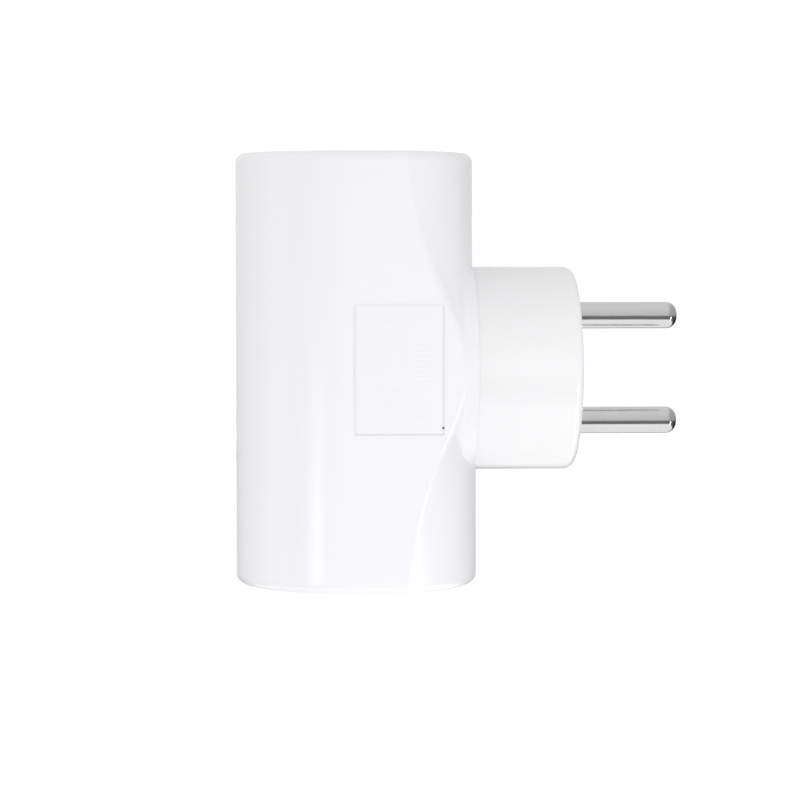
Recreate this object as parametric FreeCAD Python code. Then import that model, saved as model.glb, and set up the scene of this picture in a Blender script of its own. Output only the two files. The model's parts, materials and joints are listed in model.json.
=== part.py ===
"""Plug-in powerline adapter: an upright round-fronted body on a round two-pin mains plug.

While it is modelled, x is measured from the body's upright axis towards the wall, y across and z up
from mid height. write_nodes() then moves everything back by body_reach, so that the origin is the
centre of the plug's mating face. All sizes are in millimetres.
"""
import FreeCAD, Part
import math
import os

Vector = FreeCAD.Vector
X_AXIS = Vector(1, 0, 0)
Y_AXIS = Vector(0, 1, 0)
Z_AXIS = Vector(0, 0, 1)

# ---- body ----
body_height = 77.0
body_width = 41.0
body_depth = 42.6
body_reach = 39.4          # plug face to the body's axis
back_step = 0.75           # the back stands this much further out below the plug than above it
back_blend = 8.0           # height scale over which that step runs out
wall = 2.0
rim_radius = 1.6

# ---- the crease, where the flat side turns into the back ----
crease_at_ends_share = 0.127  # where the crease settles far above or below the plug, as a share of the depth
crease_bulge_share = 0.326  # how much further back it runs at mid height, as a share of the depth
crease_spread_share = 0.24  # half height of that bulge, as a share of the body's height
crease_radius = 2.2
inner_crease_radius = 0.8

# ---- mains plug ----
plug_diameter = 36.5
plug_wall = 2.2
plug_face_thickness = 3.0
plug_edge_radius = 1.8
plug_seam = 0.1            # gap between the plug body and the collar round it
collar_lip = 0.25          # edge of the collar's cone at the plug
collar_under_flat = 0.05   # collar inside the flat sides
collar_start = 1.4         # collar's front face before the crease's rearmost point
collar_straight = 0.5
flange_thickness = 1.5
flange_overlap = 1.5       # how far the flange reaches out past the plug's bore in the housing
pin_diameter = 4.8
pin_length = 19.0
pin_spacing = 19.0
pin_tip_radius = 1.9
pin_shank_diameter = 4.4
pin_recess_gap = 0.1       # the face stands this far off each pin
pin_recess_depth = 0.5
pin_stub_diameter = 3.0
pin_boss_wall = 1.6
pin_boss_length = 5.0

# ---- joint between the two shells ----
lip_length = 2.5
lip_thickness = 0.9
lip_gap = 0.15
lip_root = 1.2             # how far behind the crease the lip joins the wall
catch_height = 0.45
catch_length = 6.0
catch_z = 22.0

# ---- boards ----
board_thickness = 1.6
board_edge_gap = 1.0
main_board_x = -7.2        # back face of the main board
power_board_x = 12.0       # front face of the power board
board_end_gap = 3.0        # board edge to the inside of the body's ends
screw_inset = 4.0          # screw centre from the board's edges
screw_radius = 1.1
screw_head_radius = 1.9
screw_head_height = 1.3
screw_length = 5.0
boss_radius = 2.4
pilot_radius = 0.9

# ---- network jack, mouth downwards ----
jack_width = 15.6
jack_depth = 13.0
jack_length = 18.0
jack_wall = 1.6
mouth_width = 11.9
mouth_depth = 7.2
latch_width = 6.2
latch_depth = 2.0
shield_thickness = 0.25
jack_window_gap = 0.2

# ---- pair button and its switch ----
button_z = -12.0
button_radius = 4.5
button_gap = 0.15
button_proud = 0.3
button_travel = 0.3
button_flange = 1.1
switch_size = 6.0
switch_height = 3.5
stem_radius = 1.7
stem_gap = 0.06
stem_proud = 0.9
stem_rest_gap = 0.05       # between the button's plunger and the stem

# ---- reset switch ----
reset_y = 3.0
reset_hole_radius = 0.8
reset_stem_radius = 1.2
reset_stem_proud = 1.1
reset_travel = 0.25

# ---- lights ----
light_radius = 1.5
light_pitch = 7.0
light_top_z = 26.0
light_count = 3
led_height = 0.8

# ---- vents ----
vent_width = 1.8
vent_pitch = 3.8
top_vent_length = 20.0
top_vent_count = 5
bottom_vent_length = 12.0
bottom_vent_count = 2
bottom_vent_offset = 8.7   # first bottom slot to the main board

# ---- rating label ----
label_front_x = -0.95
label_width = 15.6
label_height = 22.7
label_centre_z = 0.5
label_thickness = 0.15

front_centre = (body_width - body_depth) / 2       # axis of the round front
crease_at_ends = crease_at_ends_share * body_depth
crease_bulge = crease_bulge_share * body_depth
crease_spread = crease_spread_share * body_height
body_bottom = -body_height / 2
body_top = body_height / 2
inner_bottom = body_bottom + wall
inner_top = body_top - wall
plug_radius = plug_diameter / 2
plug_face_x = body_reach
main_front_x = main_board_x - board_thickness
power_back_x = power_board_x + board_thickness
board_bottom = inner_bottom + board_end_gap
board_top = inner_top - board_end_gap


# ------------------------------------------------------------------ basic shapes
def block(x, y, z):
    """Box between two limits on each axis."""
    return Part.makeBox(x[1] - x[0], y[1] - y[0], z[1] - z[0], Vector(x[0], y[0], z[0]))


def centred(x, y_centre, z_centre, width, height):
    """Box between two x limits, centred on a point of a board."""
    return block(x, (y_centre - width / 2, y_centre + width / 2), (z_centre - height / 2, z_centre + height / 2))


def rod_x(x, y, z, radius):
    """Cylinder along x between two limits."""
    return Part.makeCylinder(radius, x[1] - x[0], Vector(x[0], y, z), X_AXIS)


def rod_z(x, y, z, radius):
    """Cylinder along z between two limits."""
    return Part.makeCylinder(radius, z[1] - z[0], Vector(x, y, z[0]), Z_AXIS)


def fused(shapes):
    """One solid from pieces that meet."""
    return shapes[0].multiFuse(shapes[1:]).removeSplitter()


# ------------------------------------------------------------------ body form
def back_x(z):
    """Rearmost point of the section at height z: a soft step from the upper to the lower half."""
    return body_depth / 2 + 0.2 - back_step / 2 * math.tanh(z / back_blend)


def crease_x(z):
    """Where the flat side ends at height z: a bell curve that reaches furthest back behind the plug."""
    return crease_at_ends + crease_bulge / (1 + (z / crease_spread) ** 2)


def back_radius(z):
    """Radius of the arc through both creases and the rearmost point."""
    rise = back_x(z) - crease_x(z)
    return ((body_width / 2) ** 2 + rise ** 2) / (2 * rise)


def section_wire(z, inset):
    """Outline at height z, drawn inset inside the outer skin: round front, flat sides, shallow round back."""
    half = body_width / 2 - inset
    corner = crease_radius if inset == 0 else inner_crease_radius
    back_arc = back_radius(z) - inset
    arc_centre = back_x(z) - back_radius(z)
    corner_y = half - corner
    corner_x = arc_centre + math.sqrt((back_arc - corner) ** 2 - corner_y ** 2)
    reach = back_arc - corner
    outward = ((corner_x - arc_centre) / reach, corner_y / reach)
    bisector = Vector(outward[0], outward[1] + 1, 0).normalize()

    def point(x, y):
        return Vector(x, y, z)

    left = [point(front_centre, half), point(corner_x, half)]
    left.append(point(corner_x + corner * bisector.x, corner_y + corner * bisector.y))
    left.append(point(corner_x + corner * outward[0], corner_y + corner * outward[1]))
    right = [point(p.x, -p.y) for p in left]
    nose = point(front_centre - half, 0)
    tail = point(back_x(z) - inset, 0)
    edges = [
        Part.Arc(right[0], nose, left[0]).toShape(),
        Part.LineSegment(left[0], left[1]).toShape(),
        Part.Arc(left[1], left[2], left[3]).toShape(),
        Part.Arc(left[3], tail, right[3]).toShape(),
        Part.Arc(right[3], right[2], right[1]).toShape(),
        Part.LineSegment(right[1], right[0]).toShape(),
    ]
    return Part.Wire(edges)


def body_solid(inset):
    """The body's form, inset all round and at both ends."""
    sections = 12
    low = body_bottom + inset
    step = (body_height - 2 * inset) / sections
    wires = [section_wire(low + step * i, inset) for i in range(sections + 1)]
    return Part.makeLoft(wires, True, False)


def round_rims(solid):
    """Round the two end edges of the body."""
    rims = [e for e in solid.Edges if min(abs(e.BoundBox.ZMin - z) + abs(e.BoundBox.ZMax - z)
                                          for z in (body_bottom, body_top)) < 0.01]
    return solid.makeFillet(rim_radius, rims)


def behind_crease(shift):
    """Everything behind the curved parting surface, moved by shift along x."""
    steps = 24
    reach = body_height / 2 + 5
    points = [Vector(crease_x(-reach + 2 * reach * i / steps) + shift, -body_width,
                     -reach + 2 * reach * i / steps) for i in range(steps + 1)]
    curve = Part.BSplineCurve()
    curve.interpolate(points)
    far_x = body_depth
    far_top = Vector(far_x, -body_width, reach)
    far_bottom = Vector(far_x, -body_width, -reach)
    outline = Part.Wire([
        curve.toShape(),
        Part.LineSegment(points[-1], far_top).toShape(),
        Part.LineSegment(far_top, far_bottom).toShape(),
        Part.LineSegment(far_bottom, points[0]).toShape(),
    ])
    return Part.Face(outline).extrude(Vector(0, 2 * body_width, 0))


def inside_half_width(x, z, inset):
    """Half the width of the inset section at one x and z."""
    half = body_width / 2 - inset
    if x < front_centre:
        return math.sqrt(half ** 2 - (x - front_centre) ** 2)
    back_arc = back_radius(z) - inset
    arc_centre = back_x(z) - back_radius(z)
    return min(half, math.sqrt(back_arc ** 2 - (x - arc_centre) ** 2))


# ------------------------------------------------------------------ shells
def shell_catches(reach, grow):
    """Four snap catches, or with grow the pockets for them, on the lip's flat sides."""
    outer = body_width / 2 - wall + reach
    inner = body_width / 2 - wall - lip_gap - lip_thickness / 2
    catches = []
    for z in (-catch_z, catch_z):
        back = crease_x(abs(z) + catch_length / 2) - lip_length / 3
        for side in (-1, 1):
            y = sorted((side * inner, side * outer))
            catches.append(block((back - 1 - grow, back + grow), y,
                                 (z - catch_length / 2 - grow, z + catch_length / 2 + grow)))
    return catches


def vent_slots(z, length, count, first_x):
    """A row of round-ended slots across one end of the body."""
    slots = []
    half = length / 2 - vent_width / 2
    for i in range(count):
        x = first_x + vent_pitch * i
        slots.append(block((x - vent_width / 2, x + vent_width / 2), (-half, half), z))
        slots.append(rod_z(x, -half, z, vent_width / 2))
        slots.append(rod_z(x, half, z, vent_width / 2))
    return slots


def main_screw_places():
    """Screw centres on the main board."""
    y = main_board_half_width() - screw_inset
    return [(side * y, z) for side in (-1, 1) for z in (board_bottom + screw_inset, board_top - screw_inset)]


def power_screw_places():
    """Screw centres on the power board."""
    y = power_board_half_width() - screw_inset
    return [(side * y, z) for side in (-1, 1) for z in (board_bottom + screw_inset, board_top - screw_inset)]


def light_places():
    """Heights of the status lights."""
    return [light_top_z - light_pitch * i for i in range(light_count)]


def sheet_ribs():
    """Two ribs on each side that hold the insulating sheet between them."""
    outer = body_width / 2 - wall + 0.5
    inner = sheet_half_width - sheet_grip
    ribs = []
    for side in (-1, 1):
        y = sorted((side * inner, side * outer))
        for x in ((sheet_x - sheet_gap - rib_width, sheet_x - sheet_gap),
                  (sheet_x + sheet_thickness + sheet_gap, sheet_x + sheet_thickness + sheet_gap + rib_width)):
            ribs.append(block(x, y, (sheet_bottom, sheet_top)))
    return ribs


def front_cover():
    """Round front, both flat sides and both ends up to the crease, with ribs, bosses and openings."""
    skin = round_rims(body_solid(0)).cut(body_solid(wall)).cut(behind_crease(0))
    inside = body_solid(wall / 2)
    extras = list(sheet_ribs())
    for y, z in main_screw_places():
        extras.append(rod_x((-body_depth / 2, main_front_x), y, z, boss_radius).common(inside))
    solid = fused([skin] + extras)
    cuts = [rod_x((flange_front_x - flange_thickness, body_reach), 0, 0, plug_radius + plug_seam)]
    cuts += shell_catches(catch_height + 0.1, 0.15)
    cuts += vent_slots((inner_top - 1, body_top + 1), top_vent_length, top_vent_count, -2 * vent_pitch - 3)
    cuts += vent_slots((body_bottom - 1, inner_bottom + 1), bottom_vent_length, bottom_vent_count,
                       main_front_x - bottom_vent_offset)
    cuts.append(jack_envelope(jack_window_gap))
    cuts.append(rod_x((-body_depth, 0), 0, button_z, button_radius + button_gap)
                .common(block((-body_depth, -body_depth / 4), (-body_width, body_width),
                              (-body_height, body_height))))
    cuts.append(rod_z(reset_x, reset_y, (body_bottom - 1, inner_bottom + 1), reset_hole_radius))
    for z in light_places():
        cuts.append(rod_x((-body_depth, -body_depth / 3), 0, z, light_radius))
    for y, z in main_screw_places():
        cuts.append(rod_x((main_front_x - screw_length, main_front_x + 1), y, z, pilot_radius))
    return solid.cut(Part.makeCompound(cuts)).cut(collar_ring())


def ring_profile(start):
    """Half section of the collar: straight, then a cone that runs down to the plug's skin at the back wall."""
    bore = plug_radius + plug_seam
    points = [Vector(start, bore, 0), Vector(start, collar_radius, 0), Vector(collar_cone_x, collar_radius, 0),
              Vector(collar_end_x, bore + collar_lip, 0), Vector(collar_end_x, bore, 0)]
    return Part.Face(Part.makePolygon(points + points[:1]))


def collar_ring():
    """Ring round the plug that carries the crease over to it; it fills the wall behind the crease."""
    sleeve = ring_profile(collar_front_x).revolve(Vector(0, 0, 0), X_AXIS, 360)
    filled = ring_profile(0).revolve(Vector(0, 0, 0), X_AXIS, 360)
    filled = filled.common(behind_crease(0)).cut(body_solid(wall))
    return sleeve.fuse(filled)


def rear_housing():
    """Back of the body behind the crease, with the collar for the plug, the lip and the board bosses."""
    back = round_rims(body_solid(0)).common(behind_crease(0))
    tongue = body_solid(wall + lip_gap).common(behind_crease(-lip_length))
    tongue = tongue.cut(rod_x((0, collar_front_x), 0, 0, collar_radius))
    lip_inside = body_solid(wall + lip_gap + lip_thickness)
    hollow = lip_inside.fuse(body_solid(wall).common(behind_crease(lip_root)))
    skin = back.fuse(tongue).cut(hollow)
    extras = [collar_ring()] + [c.cut(lip_inside) for c in shell_catches(catch_height, 0)]
    inside = body_solid(wall / 2)
    for y, z in power_screw_places():
        extras.append(rod_x((power_back_x, body_depth / 2), y, z, boss_radius).common(inside))
    solid = fused([skin] + extras)
    cuts = [rod_x((0, body_reach), 0, 0, plug_radius + plug_seam), jack_envelope(jack_window_gap)]
    for y, z in power_screw_places():
        cuts.append(rod_x((power_back_x - 1, power_back_x + screw_length - board_thickness), y, z, pilot_radius))
    return solid.cut(Part.makeCompound(cuts))


def rating_label():
    """Thin sticker on the flat side."""
    side = -body_width / 2
    x = (label_front_x, label_front_x + label_width)
    z = (label_centre_z - label_height / 2, label_centre_z + label_height / 2)
    plate = block(x, (side - label_thickness, side), z)
    return plate.makeFillet(0.6, [e for e in plate.Edges if e.BoundBox.YLength > label_thickness * 0.9
                                  and e.BoundBox.XLength < 0.01 and e.BoundBox.ZLength < 0.01])


# ------------------------------------------------------------------ plug
collar_front_x = crease_x(0) - collar_start
collar_cone_x = collar_front_x + collar_straight
collar_end_x = body_depth / 2 - 0.4
collar_radius = body_width / 2 - collar_under_flat
flange_front_x = collar_front_x - flange_thickness
plug_bore_radius = plug_radius - plug_wall
plug_floor_x = plug_face_x - plug_face_thickness
pin_fit = 0.02
pin_places = (pin_spacing / 2, -pin_spacing / 2)
pin_inner_x = plug_floor_x - pin_boss_length


def plug_body():
    """Round plug moulding: tube, closed mating face with two bosses, and the flange that holds it in."""
    tube = rod_x((flange_front_x, plug_face_x), 0, 0, plug_radius)
    edge = [e for e in tube.Edges if e.BoundBox.XMin > plug_face_x - 0.01]
    tube = tube.makeFillet(plug_edge_radius, edge)
    flange = rod_x((flange_front_x, flange_front_x + flange_thickness), 0, 0, plug_radius + flange_overlap)
    flange = flange.common(body_solid(wall + lip_gap + lip_thickness + 0.1))
    solid = tube.fuse(flange).cut(rod_x((flange_front_x - 1, plug_floor_x), 0, 0, plug_bore_radius))
    for z in pin_places:
        solid = solid.fuse(rod_x((pin_inner_x, plug_floor_x + 0.5), 0, z, pin_shank_diameter / 2 + pin_boss_wall))
    for z in pin_places:
        solid = solid.cut(rod_x((pin_inner_x - 1, plug_face_x + 1), 0, z, pin_shank_diameter / 2 + pin_fit))
        recess = rod_x((plug_face_x - pin_recess_depth, plug_face_x + 1), 0, z, pin_diameter / 2 + pin_recess_gap)
        solid = solid.cut(recess)
    return solid.removeSplitter()


def mains_pin(z):
    """Solid round pin: full diameter outside the face, a thinner shank inside it and a stub for its strap."""
    pin = rod_x((plug_face_x + pin_fit, plug_face_x + pin_length), 0, z, pin_diameter / 2)
    pin = pin.makeFillet(pin_tip_radius, [e for e in pin.Edges if e.BoundBox.XMin > plug_face_x + pin_length - 0.01])
    shank = rod_x((pin_inner_x, plug_face_x + pin_fit), 0, z, pin_shank_diameter / 2)
    stub = rod_x((pin_inner_x - stub_length, pin_inner_x), 0, z, pin_stub_diameter / 2)
    return fused([pin, shank, stub])


stub_length = 2.2
strap_thickness = 0.6
strap_width = 5.0
strap_rise = 3.0
strap_tab_width = 2.0
strap_tab_past_board = 0.9


def strap_height(z):
    """The two faces of a strap's long run, outside its pin."""
    near = abs(z) + strap_rise
    return sorted((math.copysign(near, z), math.copysign(near + strap_thickness, z)))


def pin_strap(z):
    """Bent metal strip from the back of a pin to a slot in the power board."""
    half = strap_width / 2
    plate_x = (pin_inner_x - strap_thickness, pin_inner_x)
    run_z = strap_height(z)
    tongue_start = z - math.copysign(half, z)
    plate_z = sorted((tongue_start, math.copysign(abs(z) + strap_rise + strap_thickness, z)))
    plate = block(plate_x, (-half, half), plate_z)
    plate = plate.cut(rod_x((plate_x[0] - 1, plate_x[1] + 1), 0, z, pin_stub_diameter / 2 + pin_fit))
    run = block((power_back_x + 0.2, plate_x[1]), (-half, half), run_z)
    tab = block((power_board_x - strap_tab_past_board, power_back_x + 0.2),
                (-strap_tab_width / 2, strap_tab_width / 2), run_z)
    return fused([plate, run, tab])


# ------------------------------------------------------------------ boards
sheet_x = 0.3
sheet_thickness = 0.4
sheet_gap = 0.05
sheet_grip = 1.6
sheet_bottom = -16.0
sheet_top = 27.0
sheet_half_width = body_width / 2 - wall - 0.3
rib_width = 1.0
link_z = board_top - 1.7
link_pitch = 2.54
link_count = 6
link_pin = 0.64
link_spacer = 2.5


def main_board_half_width():
    """Half width that clears the round front at the board's front face."""
    return inside_half_width(main_front_x, 0, wall) - board_edge_gap


def power_board_half_width():
    """Half width that clears the round back at the board's back face, at its ends."""
    return min(inside_half_width(power_back_x, z, wall) for z in (board_bottom, board_top)) - board_edge_gap


def screw_holes(board, places, x):
    """Board with clearance holes for its screws."""
    for y, z in places:
        board = board.cut(rod_x((x[0] - 1, x[1] + 1), y, z, screw_radius + 0.1))
    return board


def link_places():
    """Across-positions of the pins that join the two boards."""
    first = -link_pitch * (link_count - 1) / 2
    return [first + link_pitch * i for i in range(link_count)]


def link_holes(board, x):
    """Board with one square hole for each link pin."""
    side = link_pin + 0.1
    holes = [centred((x[0] - 1, x[1] + 1), y, link_z, side, side) for y in link_places()]
    return board.cut(Part.makeCompound(holes))


def main_board():
    """Upright board behind the front, for the data circuits."""
    x = (main_front_x, main_board_x)
    board = centred(x, 0, (board_bottom + board_top) / 2, 2 * main_board_half_width(), board_top - board_bottom)
    return link_holes(screw_holes(board, main_screw_places(), x), x)


def power_board():
    """Upright board in front of the plug, for the mains circuits."""
    x = (power_board_x, power_back_x)
    board = centred(x, 0, (board_bottom + board_top) / 2, 2 * power_board_half_width(), board_top - board_bottom)
    board = link_holes(screw_holes(board, power_screw_places(), x), x)
    for z in pin_places:
        run_z = strap_height(z)
        board = board.cut(block((x[0] - 1, x[1] + 1), (-strap_tab_width / 2 - 0.1, strap_tab_width / 2 + 0.1),
                                (run_z[0] - 0.1, run_z[1] + 0.1)))
    return board


def screw(x_head, direction, y, z):
    """Pan-head screw with a cross recess; direction is the way it drives along x."""
    axis = Vector(direction, 0, 0)
    head_start = Vector(x_head - direction * screw_head_height, y, z)
    head = Part.makeCylinder(screw_head_radius, screw_head_height, head_start, axis)
    outer = [e for e in head.Edges if abs(e.BoundBox.XMin - head_start.x) + abs(e.BoundBox.XMax - head_start.x) < 0.01]
    head = head.makeFillet(0.6, outer)
    arm = 1.2
    slot = 0.45
    depth = sorted((head_start.x - direction, head_start.x + direction * 0.7))
    head = head.cut(centred(depth, y, z, 2 * arm, slot)).cut(centred(depth, y, z, slot, 2 * arm))
    through = Part.makeCylinder(screw_radius - 0.1, board_thickness, Vector(x_head, y, z), axis)
    thread = Part.makeCylinder(pilot_radius, screw_length - board_thickness - 0.4,
                               Vector(x_head + direction * board_thickness, y, z), axis)
    return fused([head, through, thread])


def main_board_screws():
    """Screws from behind the main board into the front cover."""
    return Part.makeCompound([screw(main_board_x, -1, y, z) for y, z in main_screw_places()])


def power_board_screws():
    """Screws from in front of the power board into the rear housing."""
    return Part.makeCompound([screw(power_board_x, 1, y, z) for y, z in power_screw_places()])


def link_pins():
    """Square pins that join the two boards."""
    past = 0.8
    x = (main_front_x - past, power_back_x + past)
    return Part.makeCompound([centred(x, y, link_z, link_pin, link_pin) for y in link_places()])


def link_header():
    """Moulded strips that the link pins stand in, one on each board."""
    strips = []
    for x in ((main_board_x, main_board_x + link_spacer), (power_board_x - link_spacer, power_board_x)):
        strip = centred(x, 0, link_z, link_pitch * link_count, link_pitch)
        for y in link_places():
            strip = strip.cut(centred((x[0] - 1, x[1] + 1), y, link_z, link_pin, link_pin))
        strips.append(strip)
    return Part.makeCompound(strips)


def insulating_sheet():
    """Thin sheet between the mains parts and the data parts."""
    x = (sheet_x, sheet_x + sheet_thickness)
    return block(x, (-sheet_half_width, sheet_half_width), (sheet_bottom, sheet_top))


# ------------------------------------------------------------------ network jack
jack_bottom = body_bottom + 0.2
jack_x = (main_board_x, main_board_x + jack_depth)
mouth_centre_x = main_board_x + jack_depth / 2 + 0.4
reset_x = main_front_x - 1.9


def jack_envelope(gap):
    """Outside of the jack and its shield, grown by gap."""
    grow = shield_thickness + gap
    return block((jack_x[0] - gap, jack_x[1] + grow), (-jack_width / 2 - grow, jack_width / 2 + grow),
                 (jack_bottom - 5, jack_bottom + jack_length + grow))


def jack_housing():
    """Moulded jack with its mouth down, a latch notch and a floor."""
    solid = block(jack_x, (-jack_width / 2, jack_width / 2), (jack_bottom, jack_bottom + jack_length))
    z = (jack_bottom - 1, jack_bottom + jack_length - jack_wall * 2)
    mouth_x = (mouth_centre_x - mouth_depth / 2, mouth_centre_x + mouth_depth / 2)
    mouth = block(mouth_x, (-mouth_width / 2, mouth_width / 2), z)
    latch = block((mouth_x[1] - 0.1, mouth_x[1] + latch_depth), (-latch_width / 2, latch_width / 2), z)
    return solid.cut(mouth.fuse(latch))


def jack_shield():
    """Folded metal can round the jack, open at the mouth and towards the board."""
    half = jack_width / 2
    t = shield_thickness
    z = (jack_bottom, jack_bottom + jack_length)
    outer = block((jack_x[0], jack_x[1] + t), (-half - t, half + t), (z[0], z[1] + t))
    inner = block((jack_x[0] - 1, jack_x[1]), (-half, half), (z[0] - 1, z[1]))
    return outer.cut(inner)


def jack_contacts():
    """Eight sprung contact wires along the jack's front wall, slanting into the mouth."""
    pitch = 1.02
    size = 0.4
    wires = []
    front = mouth_centre_x - mouth_depth / 2
    z = (jack_bottom + 4.5, jack_bottom + jack_length - jack_wall * 2)
    for i in range(8):
        y = (i - 3.5) * pitch
        side = [Vector(front, y - size / 2, z[0]), Vector(front + size, y - size / 2, z[0]),
                Vector(front + 1.9 + size, y - size / 2, z[1] - 1.5), Vector(front + 1.9 + size, y - size / 2, z[1]),
                Vector(front + 1.9, y - size / 2, z[1]), Vector(front + 1.9, y - size / 2, z[1] - 1.5)]
        wires.append(Part.Face(Part.makePolygon(side + side[:1])).extrude(Vector(0, size, 0)))
    return Part.makeCompound(wires)


# ------------------------------------------------------------------ controls and lights
def switch_body_x():
    """Front and back of the pair switch's body."""
    return (main_front_x - switch_height, main_front_x)


def pair_button():
    """Round button through the front, with a flange that stops it and a plunger on to the switch."""
    nose = rod_x((-body_depth, -body_depth / 3), 0, button_z, button_radius)
    proud = body_solid(0)
    proud.translate(Vector(-button_proud, 0, 0))
    nose = nose.common(proud)
    flange_radius = button_radius + button_flange
    flange_x = front_centre - math.sqrt((body_width / 2 - wall) ** 2 - flange_radius ** 2) + 0.1
    flange = rod_x((flange_x, flange_x + 1.0), 0, button_z, flange_radius)
    nose = nose.cut(block((flange_x + 0.5, body_depth), (-body_width, body_width), (-body_height, body_height)))
    stem_front = switch_body_x()[0] - stem_proud
    plunger = rod_x((flange_x, stem_front - stem_rest_gap), 0, button_z, stem_radius)
    return fused([nose, flange, plunger])


def pair_switch_body():
    """Square body of the pair switch, bored for its stem."""
    x = switch_body_x()
    solid = centred(x, 0, button_z, switch_size, switch_size)
    return solid.cut(rod_x((x[0] - 1, x[0] + stem_proud + button_travel), 0, button_z, stem_radius + stem_gap))


def pair_switch_stem():
    """Round stem of the pair switch, with room behind it for its travel."""
    x = switch_body_x()[0]
    return rod_x((x - stem_proud, x + stem_proud - 0.2), 0, button_z, stem_radius)


def reset_switch_z():
    """Bottom and top of the reset switch's body."""
    return (inner_bottom + reset_stem_proud + 1.6, inner_bottom + reset_stem_proud + 1.6 + switch_height)


def reset_switch_body():
    """Reset switch on the main board's front, with its stem pointing down to the pinhole."""
    z = reset_switch_z()
    solid = block((main_front_x - switch_height - 0.3, main_front_x),
                  (reset_y - switch_size / 2, reset_y + switch_size / 2), z)
    return solid.cut(rod_z(reset_x, reset_y, (z[0] - 1, z[0] + reset_stem_proud + reset_travel),
                           reset_stem_radius + stem_gap))


def reset_switch_stem():
    """Stem of the reset switch, above the pinhole."""
    z = reset_switch_z()[0]
    return rod_z(reset_x, reset_y, (z - reset_stem_proud, z + reset_stem_proud - 0.2), reset_stem_radius)


def status_leds():
    """Three small surface-mounted lights on the main board's front."""
    x = (main_front_x - led_height, main_front_x)
    return Part.makeCompound([centred(x, 0, z, 1.6, 3.2) for z in light_places()])


def light_guide():
    """Clear posts from the lights to the front, joined by a bar behind the cover."""
    bar_x = (main_front_x - led_height - 2.2, main_front_x - led_height - 1.0)
    posts = []
    for z in light_places():
        post = rod_x((-body_depth, main_front_x - led_height - 0.3), 0, z, light_radius)
        posts.append(post.common(body_solid(0)))
    low = light_places()[-1]
    bar = block(bar_x, (-light_radius, light_radius), (low - light_radius, light_top_z + light_radius))
    return fused([bar] + posts)


# ------------------------------------------------------------------ data parts, behind the main board
chip_z = 3.0
chip_size = 14.0
chip_height = 1.2
pad_height = 0.5
sink_size = 16.0
sink_base = 1.4
sink_height = 5.0
sink_fins = 6
sink_fin = 0.9
net_transformer_z = jack_bottom + jack_length + 6.5


def powerline_chip():
    """Flat square processor."""
    return centred((main_board_x, main_board_x + chip_height), 0, chip_z, chip_size, chip_size)


def thermal_pad():
    """Soft pad between the processor and its heat sink."""
    x = main_board_x + chip_height
    return centred((x, x + pad_height), 0, chip_z, chip_size - 1, chip_size - 1)


def heat_sink():
    """Finned sink on the processor."""
    x = main_board_x + chip_height + pad_height
    pieces = [centred((x, x + sink_base), 0, chip_z, sink_size, sink_size)]
    pitch = (sink_size - sink_fin) / (sink_fins - 1)
    for i in range(sink_fins):
        y = -sink_size / 2 + sink_fin / 2 + pitch * i
        pieces.append(centred((x + sink_base, x + sink_height), y, chip_z, sink_fin, sink_size))
    return fused(pieces)


def memory_chip():
    """Small flat memory chip."""
    return centred((main_board_x, main_board_x + 1.4), -9.0, 17.0, 5.2, 6.0)


def clock_crystal():
    """Metal crystal can with round ends."""
    x = (main_board_x, main_board_x + 3.2)
    half = 3.2
    y = 11.0
    centre_z = 18.0
    can = [centred(x, y, centre_z, 4.4, 2 * half), rod_x(x, y, centre_z - half, 2.2), rod_x(x, y, centre_z + half, 2.2)]
    return fused(can)


def network_transformer():
    """Moulded isolating transformer above the jack."""
    solid = centred((main_board_x, main_board_x + 5.4), 0, net_transformer_z, 15.0, 8.6)
    return solid.makeChamfer(0.5, [e for e in solid.Edges if e.BoundBox.XMin > main_board_x + 5.3])


def coupling_core():
    """Small ferrite block with a round window, for the line coupling transformer."""
    x = (main_board_x, main_board_x + 6.2)
    solid = centred(x, 1.0, 22.0, 9.0, 7.6)
    return solid.cut(rod_x((x[0] + 1, x[1] + 1), 1.0, 22.0, 2.9))


def coupling_winding():
    """Coil in the coupling transformer's window."""
    x = (main_board_x + 1, main_board_x + 6.6)
    return rod_x(x, 1.0, 22.0, 2.8).cut(rod_x((x[0] - 1, x[1] + 1), 1.0, 22.0, 1.1))


def coupling_capacitor():
    """Boxed film capacitor in the signal path to the mains."""
    solid = centred((main_board_x, main_board_x + 6.4), -10.6, 7.0, 4.0, 9.0)
    return solid.makeFillet(0.4, [e for e in solid.Edges if e.BoundBox.XMin > main_board_x + 6.3])


# ------------------------------------------------------------------ mains parts, in front of the power board
transformer_z = 20.0
core_width = 16.0
core_leg = 3.6
core_depth = 4.8
bobbin_height = 10.4
choke_y = -7.2
choke_z = -12.5
choke_outer = 4.9
choke_inner = 2.4
choke_core = 3.4
choke_wire = 1.0


def transformer_core():
    """Two ferrite E halves that meet in the middle, round the bobbin's flanks."""
    x_mid = power_board_x - bobbin_height / 2
    x = (x_mid - core_depth / 2, x_mid + core_depth / 2)
    outer = centred(x, 0, transformer_z, core_width, core_width)
    window = core_width / 2 - core_leg / 2
    core = outer
    for side in (-1, 1):
        z_near = transformer_z - core_width / 2 + core_leg / 2
        y = sorted((side * core_leg / 2, side * window))
        core = core.cut(block((x[0] - 1, x[1] + 1), y, (z_near, transformer_z + core_width / 2 - core_leg / 2)))
    halves = []
    for z in ((transformer_z - core_width, transformer_z), (transformer_z, transformer_z + core_width)):
        halves.append(core.common(block((x[0] - 1, x[1] + 1), (-core_width, core_width), z)))
    return Part.makeCompound(halves)


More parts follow.
